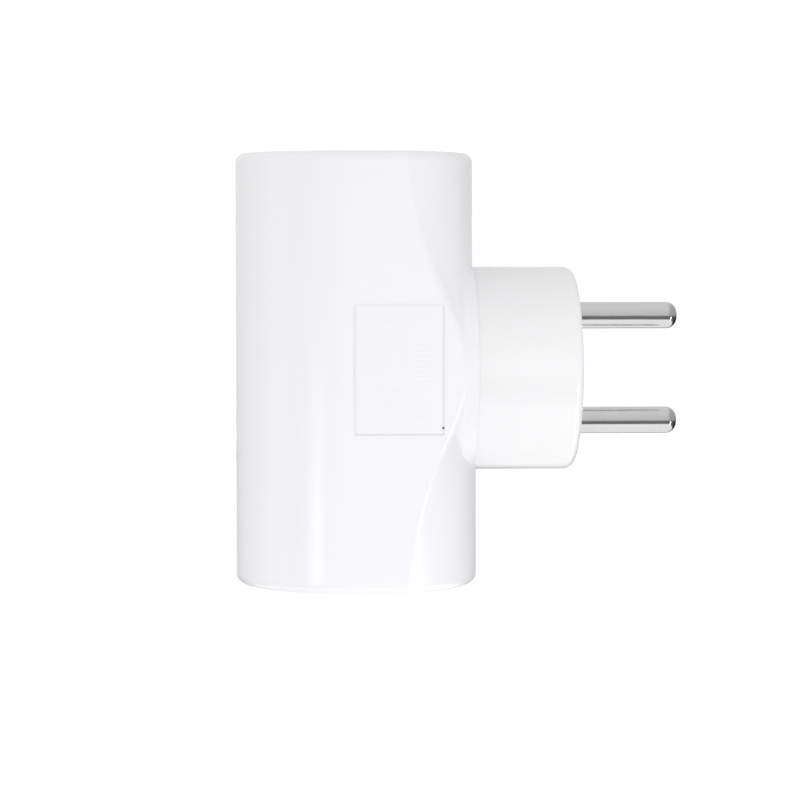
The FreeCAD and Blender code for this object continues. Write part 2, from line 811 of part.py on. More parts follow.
def transformer_bobbin():
    """Bobbin: square tube on the core's middle leg with a flange at each end and a foot on the board."""
    x_mid = power_board_x - bobbin_height / 2
    length = core_width - core_leg - 0.2
    clear = 0.1
    inner = core_leg / 2 + clear
    tube_wall = 0.6
    depth_inner = core_depth / 2 + clear
    flange_y = core_width / 2 - core_leg / 2 - 0.1
    tube = centred((x_mid - depth_inner - tube_wall, x_mid + depth_inner + tube_wall), 0, transformer_z,
                   2 * (inner + tube_wall), length)
    pieces = [tube]
    for side in (-1, 1):
        z = sorted((transformer_z + side * length / 2, transformer_z + side * (length / 2 - tube_wall)))
        pieces.append(block((x_mid - bobbin_height / 2, power_board_x), (-flange_y, flange_y), z))
    hole = centred((x_mid - depth_inner, x_mid + depth_inner), 0, transformer_z, 2 * inner, length + 2)
    return fused(pieces).cut(hole)


def transformer_winding():
    """Taped coil wound on the bobbin between its flanges."""
    x_mid = power_board_x - bobbin_height / 2
    inner_y = core_leg / 2 + 0.7
    inner_x = core_depth / 2 + 0.7
    outer_y = core_width / 2 - core_leg / 2 - 0.3
    outer_x = bobbin_height / 2 - 0.4
    length = core_width - core_leg - 0.2 - 1.2
    solid = centred((x_mid - outer_x, x_mid + outer_x), 0, transformer_z, 2 * outer_y, length)
    solid = solid.makeFillet(1.2, [e for e in solid.Edges if e.BoundBox.ZLength > length * 0.9])
    return solid.cut(centred((x_mid - inner_x, x_mid + inner_x), 0, transformer_z, 2 * inner_y, length + 2))


def bulk_capacitor():
    """High-voltage can capacitor lying along the board, with its rolled groove."""
    radius = 4.9
    z = (-5.5, 9.0)
    x = power_board_x - radius
    y = -7.2
    can = rod_z(x, y, z, radius)
    can = can.makeFillet(0.7, [e for e in can.Edges if e.BoundBox.ZLength < 0.01])
    groove = rod_z(x, y, (z[0] + 1.6, z[0] + 2.3), radius + 1).cut(rod_z(x, y, (z[0], z[1]), radius - 0.4))
    return can.cut(groove)


def output_capacitor():
    """Low-voltage can capacitor lying along the board."""
    radius = 3.1
    z = (-2.5, 8.5)
    x = power_board_x - radius
    can = rod_z(x, 8.2, z, radius)
    can = can.makeFillet(0.5, [e for e in can.Edges if e.BoundBox.ZLength < 0.01])
    groove = rod_z(x, 8.2, (z[0] + 1.2, z[0] + 1.8), radius + 1).cut(rod_z(x, 8.2, z, radius - 0.3))
    return can.cut(groove)


def ring_x(x, y, z, outer, inner):
    """Flat ring about an axis along x."""
    return rod_x(x, y, z, outer).cut(rod_x((x[0] - 1, x[1] + 1), y, z, inner))


def choke_core_ring():
    """Ferrite ring of the line choke."""
    x = (power_board_x - choke_wire - choke_core, power_board_x - choke_wire)
    return ring_x(x, choke_y, choke_z, choke_outer, choke_inner)


def choke_winding(side):
    """One of the two coils on the choke's ring, over an arc on one side."""
    fit = 0.05
    x = (power_board_x - 2 * choke_wire - choke_core, power_board_x)
    coil = ring_x(x, choke_y, choke_z, choke_outer + choke_wire, choke_inner - choke_wire)
    core_x = (power_board_x - choke_wire - choke_core - fit, power_board_x - choke_wire + fit)
    coil = coil.cut(ring_x(core_x, choke_y, choke_z, choke_outer + fit, choke_inner - fit))
    y = sorted((choke_y + side * 0.9, choke_y + side * 20))
    return coil.common(block((x[0] - 1, x[1] + 1), y, (choke_z - 20, choke_z + 20)))


def bridge_rectifier():
    """Flat moulded rectifier."""
    solid = centred((power_board_x - 3.0, power_board_x), 5.2, -18.5, 8.4, 6.4)
    return solid.makeChamfer(0.6, [e for e in solid.Edges if e.BoundBox.XMax < power_board_x - 2.9])


def power_switch_chip():
    """Moulded chip that drives the transformer."""
    return centred((power_board_x - 3.3, power_board_x), 5.4, -9.4, 6.4, 9.2)


def optical_coupler():
    """Small moulded coupler across the isolation gap."""
    return centred((power_board_x - 3.4, power_board_x), 1.3, 4.6, 5.0, 4.6)


def output_diode():
    """Moulded diode lying along the board."""
    return rod_z(power_board_x - 1.6, 11.4, (12.0, 19.0), 1.6)


def output_inductor():
    """Shielded square inductor."""
    solid = centred((power_board_x - 4.0, power_board_x), 10.8, 24.0, 4.8, 5.6)
    return solid.makeChamfer(0.8, [e for e in solid.Edges if e.BoundBox.XLength > 3.9])


def leaded_disc(x_board, direction, centre, flat_axis, radius, thickness, lead_gap):
    """Coated disc on two coated leads. direction is the board's side, flat_axis points through the disc."""
    stand = 1.6
    middle = Vector(x_board + direction * (stand + radius), centre[0], centre[1])
    disc = Part.makeCylinder(radius, thickness, middle - flat_axis * (thickness / 2), flat_axis)
    rims = [e for e in disc.Edges if e.Closed and e.Length > 2 * radius]
    disc = disc.makeFillet(thickness * 0.4, rims)
    spread = X_AXIS.cross(flat_axis) * (lead_gap / 2)
    pieces = [disc]
    for foot in (spread, -spread):
        pieces.append(rod_x(sorted((x_board, middle.x)), middle.y + foot.y, middle.z + foot.z, 0.5))
    return fused(pieces)


def safety_capacitor():
    """Coated disc capacitor across the isolation gap."""
    return leaded_disc(power_board_x, -1, (-10.8, 17.5), Y_AXIS, 3.4, 3.0, 4.0)


# ------------------------------------------------------------------ parts inside the plug
plug_part_y = 9.0
fuse_radius = 4.0
fuse_height = 8.0


def mains_fuse():
    """Round radial fuse in its moulded cap."""
    cap = rod_x((power_back_x, power_back_x + fuse_height), -plug_part_y, 5.4, fuse_radius)
    return cap.makeFillet(0.5, [e for e in cap.Edges if e.BoundBox.XMin > power_back_x + fuse_height - 0.1])


def surge_absorber():
    """Coated disc that clips mains surges."""
    return leaded_disc(power_back_x, 1, (-plug_part_y, -4.6), Z_AXIS, 4.3, 3.8, 5.0)


def filter_capacitor():
    """Boxed capacitor across the mains."""
    solid = centred((power_back_x, power_back_x + 11.5), plug_part_y, 0, 6.0, 13.0)
    return solid.makeFillet(0.5, [e for e in solid.Edges if e.BoundBox.XMin > power_back_x + 11.4])


# ------------------------------------------------------------------ nodes
NODES = {
    "front_cover": front_cover,
    "rear_housing": rear_housing,
    "rating_label": rating_label,
    "plug_body": plug_body,
    "upper_pin": lambda: mains_pin(pin_places[0]),
    "lower_pin": lambda: mains_pin(pin_places[1]),
    "upper_pin_strap": lambda: pin_strap(pin_places[0]),
    "lower_pin_strap": lambda: pin_strap(pin_places[1]),
    "main_board": main_board,
    "power_board": power_board,
    "main_board_screws": main_board_screws,
    "power_board_screws": power_board_screws,
    "link_pins": link_pins,
    "link_header": link_header,
    "insulating_sheet": insulating_sheet,
    "jack_housing": jack_housing,
    "jack_shield": jack_shield,
    "jack_contacts": jack_contacts,
    "pair_button": pair_button,
    "pair_switch_body": pair_switch_body,
    "pair_switch_stem": pair_switch_stem,
    "reset_switch_body": reset_switch_body,
    "reset_switch_stem": reset_switch_stem,
    "status_leds": status_leds,
    "light_guide": light_guide,
    "powerline_chip": powerline_chip,
    "thermal_pad": thermal_pad,
    "heat_sink": heat_sink,
    "memory_chip": memory_chip,
    "clock_crystal": clock_crystal,
    "network_transformer": network_transformer,
    "coupling_core": coupling_core,
    "coupling_winding": coupling_winding,
    "coupling_capacitor": coupling_capacitor,
    "transformer_core": transformer_core,
    "transformer_bobbin": transformer_bobbin,
    "transformer_winding": transformer_winding,
    "bulk_capacitor": bulk_capacitor,
    "output_capacitor": output_capacitor,
    "choke_core": choke_core_ring,
    "choke_winding_left": lambda: choke_winding(-1),
    "choke_winding_right": lambda: choke_winding(1),
    "bridge_rectifier": bridge_rectifier,
    "power_switch_chip": power_switch_chip,
    "optical_coupler": optical_coupler,
    "output_diode": output_diode,
    "output_inductor": output_inductor,
    "safety_capacitor": safety_capacitor,
    "mains_fuse": mains_fuse,
    "surge_absorber": surge_absorber,
    "filter_capacitor": filter_capacitor,
}


def write_nodes():
    """Build every piece, move it to the plug face's frame and write it."""
    os.makedirs("parts", exist_ok=True)
    for name, make in NODES.items():
        shape = make()
        shape.translate(Vector(-body_reach, 0, 0))
        shape.exportStep("parts/" + name + ".step")
        box = shape.BoundBox
        print("%-22s solids %d valid %s volume %9.2f  x %.2f..%.2f y %.2f..%.2f z %.2f..%.2f" % (
            name, len(shape.Solids), shape.isValid(), shape.Volume,
            box.XMin, box.XMax, box.YMin, box.YMax, box.ZMin, box.ZMax))


write_nodes()
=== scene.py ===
"""Looks of the powerline adapter: an upright, round-fronted white body on a round two-pin mains plug.

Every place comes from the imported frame. Sizes are in metres and are fields of the class that uses them.
The row frame is kept: x runs out of the plug face along the pins, z is up, and the label is on the -y side.
"""
import json
import logging
import math
from dataclasses import dataclass
from enum import Enum
from typing import Sequence

import bmesh
import bpy
import numpy as np
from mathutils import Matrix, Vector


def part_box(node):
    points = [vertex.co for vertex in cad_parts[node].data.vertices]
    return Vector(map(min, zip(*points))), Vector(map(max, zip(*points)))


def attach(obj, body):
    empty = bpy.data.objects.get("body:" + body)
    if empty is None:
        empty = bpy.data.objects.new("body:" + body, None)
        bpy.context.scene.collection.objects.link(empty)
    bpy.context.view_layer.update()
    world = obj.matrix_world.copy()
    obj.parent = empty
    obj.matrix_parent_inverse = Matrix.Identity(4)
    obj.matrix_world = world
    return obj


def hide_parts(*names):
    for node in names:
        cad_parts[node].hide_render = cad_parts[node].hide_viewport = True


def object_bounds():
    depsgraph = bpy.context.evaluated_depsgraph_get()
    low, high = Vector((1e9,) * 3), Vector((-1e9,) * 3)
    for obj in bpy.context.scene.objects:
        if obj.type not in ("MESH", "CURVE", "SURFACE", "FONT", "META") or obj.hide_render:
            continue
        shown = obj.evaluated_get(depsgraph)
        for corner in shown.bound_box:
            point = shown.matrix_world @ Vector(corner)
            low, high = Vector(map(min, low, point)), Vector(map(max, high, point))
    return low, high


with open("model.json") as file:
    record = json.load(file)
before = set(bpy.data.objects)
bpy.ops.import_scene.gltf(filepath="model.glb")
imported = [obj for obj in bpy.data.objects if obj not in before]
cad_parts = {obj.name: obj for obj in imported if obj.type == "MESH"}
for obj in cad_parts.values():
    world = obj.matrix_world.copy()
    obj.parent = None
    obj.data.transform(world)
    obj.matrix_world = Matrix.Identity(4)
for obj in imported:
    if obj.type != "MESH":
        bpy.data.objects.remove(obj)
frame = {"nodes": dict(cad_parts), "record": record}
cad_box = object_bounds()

LOG = logging.getLogger("adapter")
SMOOTH_ANGLE = math.radians(32)
WELD = 2e-8
MM = 1000
Points = np.ndarray
Colour = tuple[float, float, float]


# ---------------------------------------------------------------- surfaces
@dataclass(frozen=True)
class Surface:
    """A grid of points, rows by columns, that can close on itself either way."""

    points: Points
    rows_close: bool = False
    columns_close: bool = False
    finish: int = 0

    def faces(self, first: int) -> np.ndarray:
        """Four-sided faces of the grid.

        Args:
            first: number of this grid's first point in the whole mesh.

        Returns:
            An array of faces, four point numbers each.
        """
        rows, columns = self.points.shape[:2]
        number = first + np.arange(rows * columns).reshape(rows, columns)
        if self.rows_close:
            number = np.vstack([number, number[:1]])
        if self.columns_close:
            number = np.hstack([number, number[:, :1]])
        corners = [number[:-1, :-1], number[:-1, 1:], number[1:, 1:], number[1:, :-1]]
        return np.stack(corners, axis=-1).reshape(-1, 4)


def weld_mesh(name: str, surfaces: Sequence[Surface], materials: Sequence[bpy.types.Material]) -> bpy.types.Mesh:
    """Put grids into one mesh, weld their seams and poles and turn the faces outwards.

    Args:
        name: the mesh's name.
        surfaces: the grids that the mesh is made of.
        materials: materials, in the order of the grids' finish numbers.

    Returns:
        The mesh.
    """
    count = 0
    faces = []
    tints = []
    for surface in surfaces:
        grid = surface.faces(count)
        faces.append(grid)
        tints.append(np.full(len(grid), surface.finish, np.int32))
        count += surface.points.shape[0] * surface.points.shape[1]
    points = np.concatenate([s.points.reshape(-1, 3) for s in surfaces])
    mesh = bpy.data.meshes.new(name)
    mesh.from_pydata(points.tolist(), [], np.concatenate(faces).tolist())
    mesh.polygons.foreach_set("material_index", np.concatenate(tints))
    for material in materials:
        mesh.materials.append(material)
    work = bmesh.new()
    work.from_mesh(mesh)
    bmesh.ops.remove_doubles(work, verts=work.verts, dist=WELD)
    bmesh.ops.dissolve_degenerate(work, edges=work.edges, dist=WELD)
    bmesh.ops.recalc_face_normals(work, faces=work.faces)
    work.to_mesh(mesh)
    work.free()
    return mesh


def make_piece(name: str, surfaces: Sequence[Surface], paint: "Paintbox", node: str, slots: Sequence[str],
               body: str = "housing") -> bpy.types.Object:
    """Make one piece from grids, in place of a CAD node, and tie it to its body.

    Args:
        name: the piece's name.
        surfaces: the grids that the piece is made of.
        paint: the finishes.
        node: the CAD node that the piece stands for.
        slots: finishes, in the order of the grids' finish numbers; the first is the record's slot.
        body: the CAD body that the piece moves with.

    Returns:
        The finished object, at the origin.
    """
    mesh = weld_mesh(name, surfaces, [paint[slot] for slot in slots])
    mesh.shade_smooth()
    mesh.set_sharp_from_angle(angle=SMOOTH_ANGLE)
    piece = bpy.data.objects.new(name, mesh)
    bpy.context.scene.collection.objects.link(piece)
    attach(piece, body)
    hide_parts(node)
    return piece


def turns(count: int) -> np.ndarray:
    """Angles evenly round a full turn, without the last that repeats the first."""
    return np.linspace(0, 2 * math.pi, count, endpoint=False)


def arc(start: float, end: float, count: int) -> np.ndarray:
    """Angles from start to end in degrees, given in radians, ends included."""
    return np.radians(np.linspace(start, end, count))


def lathe(profile: Points, axis: int, centre: Points, sides: int = 64, finish: int = 0) -> Surface:
    """Surface of revolution: each profile point goes round the axis at its own radius.

    Args:
        profile: rows of place along the axis and radius.
        axis: 0, 1 or 2 for x, y or z.
        centre: a point that the axis passes through.
        sides: how many steps the turn is cut into.
        finish: the grid's finish number.

    Returns:
        A grid closed round the axis. A radius of nought at an end is a pole.
    """
    angle = turns(sides)
    grid = np.zeros((len(profile), sides, 3))
    across, up = (axis + 1) % 3, (axis + 2) % 3
    grid[..., axis] = profile[:, :1]
    grid[..., across] = centre[across] + profile[:, 1:] * np.cos(angle)
    grid[..., up] = centre[up] + profile[:, 1:] * np.sin(angle)
    return Surface(grid, columns_close=True, finish=finish)


def rounded_block(
    low: Points, high: Points, axis: int, corner: float, edge: float, steps: int = 5, finish: int = 0,
) -> Surface:
    """Block with rounded upright corners and rounded rims.

    A rounded rectangle is drawn at each height. Near an end it shrinks by edge less a circle's height, so the rim is
    a quarter round, and the end itself shrinks to the middle.

    Args:
        low: lowest corner.
        high: highest corner.
        axis: the direction that the rectangle is carried along.
        corner: radius of the upright corners.
        edge: radius of the rims.
        steps: points on each quarter round.
        finish: the grid's finish number.

    Returns:
        A closed grid.
    """
    across, up = (axis + 1) % 3, (axis + 2) % 3
    quarter = np.linspace(0, math.pi / 2, steps)
    angle = np.concatenate([quarter + math.pi / 2 * i for i in range(4)])
    side = np.repeat(np.array([[1, 1], [-1, 1], [-1, -1], [1, -1]]), steps, axis=0)
    half = np.array([high[across] - low[across], high[up] - low[up]]) / 2
    middle = np.array([high[across] + low[across], high[up] + low[up]]) / 2
    shrink = edge * (1 - np.sin(quarter))
    drop = edge * (1 - np.cos(quarter))
    height = np.concatenate([low[axis] + shrink[::-1], high[axis] - shrink])
    inset = np.concatenate([drop[::-1], drop])
    reach = np.maximum(corner - inset, 0)[:, None, None]
    pull = np.maximum(inset - corner, 0)[:, None, None]
    centre = side * (half - corner)
    ring = middle + centre - side * pull + reach * np.stack([np.cos(angle), np.sin(angle)], axis=-1)
    grid = np.zeros((len(height) + 2, len(angle), 3))
    grid[1:-1, :, across] = ring[..., 0]
    grid[1:-1, :, up] = ring[..., 1]
    grid[1:-1, :, axis] = height[:, None]
    for row, level in ((0, height[0]), (-1, height[-1])):
        grid[row, :, across] = middle[0]
        grid[row, :, up] = middle[1]
        grid[row, :, axis] = level
    return Surface(grid, columns_close=True, finish=finish)


def round_wire(radius: float, sides: int = 10) -> Points:
    """Outline of a round wire."""
    angle = turns(sides)
    return radius * np.stack([np.cos(angle), np.sin(angle)], axis=-1)


def flat_strip(width: float, thickness: float, corner: float = 0.25) -> Points:
    """Outline of a flat strip with its four corners cut; corner is a share of the thickness."""
    w, t, c = width / 2, thickness / 2, corner * thickness
    return np.array([[w, t - c], [w - c, t], [c - w, t], [-w, t - c], [-w, c - t], [c - w, -t], [w - c, -t],
                     [w, c - t]])


def sweep(path: Points, outline: Points, up: Points, finish: int = 0, closed: bool = False) -> Surface:
    """Carry an outline along a path.

    The outline's second direction is the up vector with its part along the path taken away, and its first is square
    to both. Open ends shrink to a point.

    Args:
        path: points of the path.
        outline: points of the outline, in its own two directions.
        up: one vector, or one for each point of the path.
        finish: the grid's finish number.
        closed: whether the path joins its own start.

    Returns:
        A closed grid.
    """
    if closed:
        ahead = np.roll(path, -1, axis=0) - np.roll(path, 1, axis=0)
    else:
        ahead = np.gradient(path, axis=0)
    ahead /= np.linalg.norm(ahead, axis=1, keepdims=True)
    over = np.broadcast_to(up, path.shape) - (ahead * up).sum(axis=1, keepdims=True) * ahead
    over = over / np.linalg.norm(over, axis=1, keepdims=True)
    beside = np.cross(over, ahead)
    ring = outline[None, :, :1] * beside[:, None] + outline[None, :, 1:] * over[:, None]
    grid = path[:, None] + ring
    if closed:
        return Surface(grid, rows_close=True, columns_close=True, finish=finish)
    first = np.repeat(path[:1, None], len(outline), axis=1)
    last = np.repeat(path[-1:, None], len(outline), axis=1)
    return Surface(np.concatenate([first, grid, last]), columns_close=True, finish=finish)


def smooth_path(corners: Sequence[Sequence[float]], steps: int = 6) -> Points:
    """Curve through a few points.

    Each run is a cubic whose slope at a point is half the step between that point's neighbours.

    Args:
        corners: the points that the curve passes through.
        steps: points on each run.

    Returns:
        The curve's points.
    """
    p = np.array(corners, float)
    p = np.vstack([2 * p[0] - p[1], p, 2 * p[-1] - p[-2]])
    t = np.linspace(0, 1, steps, endpoint=False)[:, None]
    a, b, c, d = p[:-3, None], p[1:-2, None], p[2:-1, None], p[3:, None]
    run = 0.5 * (2 * b + (c - a) * t + (2 * a - 5 * b + 4 * c - d) * t**2 + (3 * b - a - 3 * c + d) * t**3)
    return np.vstack([run.reshape(-1, 3), p[-2:-1]])


def box_of(node: str) -> tuple[Points, Points]:
    """Lowest and highest corner of a CAD node, as arrays."""
    low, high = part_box(node)
    return np.array(low), np.array(high)


# ---------------------------------------------------------------- finishes
class Grain(Enum):
    """What the fine texture of a finish looks like."""

    MOULDED = "moulded"
    BRUSHED = "brushed"
    LAMINATE = "laminate"
    SINTERED = "sintered"
    WOUND = "wound"
    CLEAR = "clear"


class Nodes:
    """A node tree, filled one call at a time."""

    def __init__(self, tree: bpy.types.NodeTree) -> None:
        """Empty the tree.

        Args:
            tree: the tree of a material or of the world.
        """
        self.tree = tree
        self.tree.nodes.clear()
        self.place = self.node("ShaderNodeTexCoord")

    def node(self, kind: str, **settings: object) -> bpy.types.Node:
        """New node of a kind with its settings."""
        made = self.tree.nodes.new(kind)
        for key, value in settings.items():
            setattr(made, key, value)
        return made

    def join(self, source: bpy.types.NodeSocket, target: bpy.types.NodeSocket) -> None:
        """Link one socket to another."""
        self.tree.links.new(source, target)

    def feed(self, target: bpy.types.NodeSocket, value: object) -> None:
        """Give a socket a link or a plain value."""
        if isinstance(value, bpy.types.NodeSocket):
            self.join(value, target)
        else:
            target.default_value = value

    def maths(self, operation: str, *values: object) -> bpy.types.NodeSocket:
        """One sum on links or numbers."""
        made = self.node("ShaderNodeMath", operation=operation)
        for socket, value in zip(made.inputs, values):
            self.feed(socket, value)
        return made.outputs[0]

    def between(self, value: bpy.types.NodeSocket, low: float, high: float) -> bpy.types.NodeSocket:
        """One where the value lies between two limits, and nought elsewhere."""
        return self.maths("MULTIPLY", self.maths("GREATER_THAN", value, low), self.maths("LESS_THAN", value, high))

    def spread(self, value: bpy.types.NodeSocket, low: float, high: float, start: float = 0.3,
               end: float = 0.7) -> bpy.types.NodeSocket:
        """Carry the range from start to end over to the range from low to high."""
        made = self.node("ShaderNodeMapRange")
        self.join(value, made.inputs["Value"])
        made.inputs["From Min"].default_value = start
        made.inputs["From Max"].default_value = end
        made.inputs["To Min"].default_value = low
        made.inputs["To Max"].default_value = high
        return made.outputs["Result"]


class Bench(Nodes):
    """One material's nodes."""

    def __init__(self, name: str) -> None:
        """Start an empty material.

        Args:
            name: the material's name.
        """
        self.material = bpy.data.materials.new(name)
        self.material.use_nodes = True
        super().__init__(self.material.node_tree)
        self.shader = self.node("ShaderNodeBsdfPrincipled")
        self.join(self.shader.outputs[0], self.node("ShaderNodeOutputMaterial").inputs[0])

    def mapped(self, scale: Colour = (1, 1, 1), shift: Colour = (0, 0, 0)) -> bpy.types.NodeSocket:
        """Object coordinates, scaled and then shifted."""
        made = self.node("ShaderNodeMapping")
        made.inputs["Scale"].default_value = scale
        made.inputs["Location"].default_value = shift
        self.join(self.place.outputs["Object"], made.inputs["Vector"])
        return made.outputs["Vector"]

    def noise(self, vector: bpy.types.NodeSocket, scale: float, detail: float = 3.0) -> bpy.types.NodeSocket:
        """Cloudy noise between nought and one."""
        made = self.node("ShaderNodeTexNoise")
        self.join(vector, made.inputs["Vector"])
        made.inputs["Scale"].default_value = scale
        made.inputs["Detail"].default_value = detail
        return made.outputs["Fac"]

    def blend(self, factor: object, first: object, second: object) -> bpy.types.NodeSocket:
        """Colour between two colours."""
        made = self.node("ShaderNodeMix", data_type="RGBA")
        for number, value in ((0, factor), (6, first), (7, second)):
            if isinstance(value, tuple):
                value = (*value, 1.0)
            self.feed(made.inputs[number], value)
        return made.outputs[2]

    def relief(self, height: bpy.types.NodeSocket, depth: float) -> None:
        """Raise the surface by a height map; depth is the full height in metres."""
        made = self.node("ShaderNodeBump")
        made.inputs["Strength"].default_value = 1.0
        made.inputs["Distance"].default_value = depth
        self.join(height, made.inputs["Height"])
        self.join(made.outputs["Normal"], self.shader.inputs["Normal"])


def shaded(colour: Colour, amount: float) -> Colour:
    """Colour made lighter or darker by a share."""
    return tuple(min(1.0, c * (1 + amount)) for c in colour)


@dataclass(frozen=True)
class Finish:
    """Colour, gloss and fine texture of one material."""

    slot: str
    colour: Colour
    roughness: float
    grain: Grain = Grain.MOULDED
    metallic: float = 0.0
    grain_size: float = 0.30e-3
    relief: float = 2.0e-6
    tint: float = 0.02
    coat: float = 0.0
    stretch: Colour = (1, 1, 1)
    second: Colour = (0.5, 0.5, 0.5)
    ior: float = 1.5

    def material(self) -> bpy.types.Material:
        """Build the material for this finish."""
        bench = Bench(self.slot)
        shader = bench.shader.inputs
        shader["Metallic"].default_value = self.metallic
        shader["Coat Weight"].default_value = self.coat
        shader["Coat Roughness"].default_value = 0.12
        shader["IOR"].default_value = self.ior
        if self.grain is Grain.CLEAR:
            shader["Transmission Weight"].default_value = 0.55
        dress = {Grain.LAMINATE: self.dress_board, Grain.WOUND: self.dress_wound}.get(self.grain, self.dress_plain)
        dress(bench)
        return bench.material

    def dress_plain(self, bench: Bench) -> None:
        """Cloudy change of colour and gloss over a fine raised grain.

        Args:
            bench: the material being made.
        """
        fine = bench.noise(bench.mapped(self.stretch), 1 / self.grain_size, 4.0)
        broad = bench.noise(bench.mapped(), 1 / (self.grain_size * 30), 2.0)
        colour = bench.blend(broad, shaded(self.colour, -self.tint), shaded(self.colour, self.tint))
        if self.grain is Grain.SINTERED:
            colour = bench.blend(bench.spread(fine, 0, 0.6, 0.45, 0.65), colour, self.second)
        bench.join(colour, bench.shader.inputs["Base Color"])
        cloud = self.roughness * 0.06
        gloss = bench.maths("ADD", bench.spread(broad, -cloud, cloud), bench.spread(fine, -cloud, cloud))
        bench.join(bench.maths("ADD", gloss, self.roughness), bench.shader.inputs["Roughness"])
        bench.relief(fine, self.relief)

    def dress_board(self, bench: Bench) -> None:
        """Solder mask over copper tracks, with bare laminate at the sawn edges.

        Args:
            bench: the material being made.
        """
        cells = bench.node("ShaderNodeTexVoronoi", distance="CHEBYCHEV", feature="F1")
        bench.join(bench.mapped(), cells.inputs["Vector"])
        cells.inputs["Scale"].default_value = 420.0
        tracks = bench.node("ShaderNodeTexVoronoi", distance="MANHATTAN", feature="F2")
        bench.join(bench.mapped((0.1, 1, 1)), tracks.inputs["Vector"])
        tracks.inputs["Scale"].default_value = 260.0
        pad = bench.maths("LESS_THAN", cells.outputs["Distance"], 0.16)
        track = bench.between(tracks.outputs["Distance"], 0.62, 0.80)
        mask = bench.blend(track, self.colour, shaded(self.colour, 0.55))
        mask = bench.blend(pad, mask, self.second)
        facing = bench.node("ShaderNodeSeparateXYZ")
        bench.join(bench.place.outputs["Normal"], facing.inputs[0])
        edge = bench.maths("LESS_THAN", bench.maths("ABSOLUTE", facing.outputs["X"]), 0.5)
        weave = bench.noise(bench.mapped((6, 1, 1)), 1 / self.grain_size, 2.0)
        sawn = bench.blend(weave, (0.62, 0.58, 0.36), (0.46, 0.44, 0.26))
        bench.join(bench.blend(edge, mask, sawn), bench.shader.inputs["Base Color"])
        bench.join(bench.spread(weave, self.roughness, self.roughness + 0.15), bench.shader.inputs["Roughness"])
        bench.relief(bench.maths("ADD", track, bench.maths("MULTIPLY", weave, 0.2)), self.relief)

    def dress_wound(self, bench: Bench) -> None:
        """Layers of tape or wire: thin bands round the z axis with a cloudy tint.

        Args:
            bench: the material being made.
        """
        bands = bench.node("ShaderNodeTexWave", wave_type="BANDS", bands_direction="Z")
        bench.join(bench.mapped(), bands.inputs["Vector"])
        bands.inputs["Scale"].default_value = 1 / (self.grain_size * 20)
        bands.inputs["Distortion"].default_value = 0.6
        cloud = bench.noise(bench.mapped(), 1 / (self.grain_size * 4), 3.0)
        tone = bench.blend(cloud, shaded(self.colour, -self.tint), shaded(self.colour, self.tint))
        dark = bench.maths("MULTIPLY", bands.outputs["Fac"], 0.22)
        bench.join(bench.blend(dark, tone, self.second), bench.shader.inputs["Base Color"])
        bench.join(bench.spread(cloud, self.roughness - 0.05, self.roughness + 0.08), bench.shader.inputs["Roughness"])
        bench.relief(bands.outputs["Fac"], self.relief)


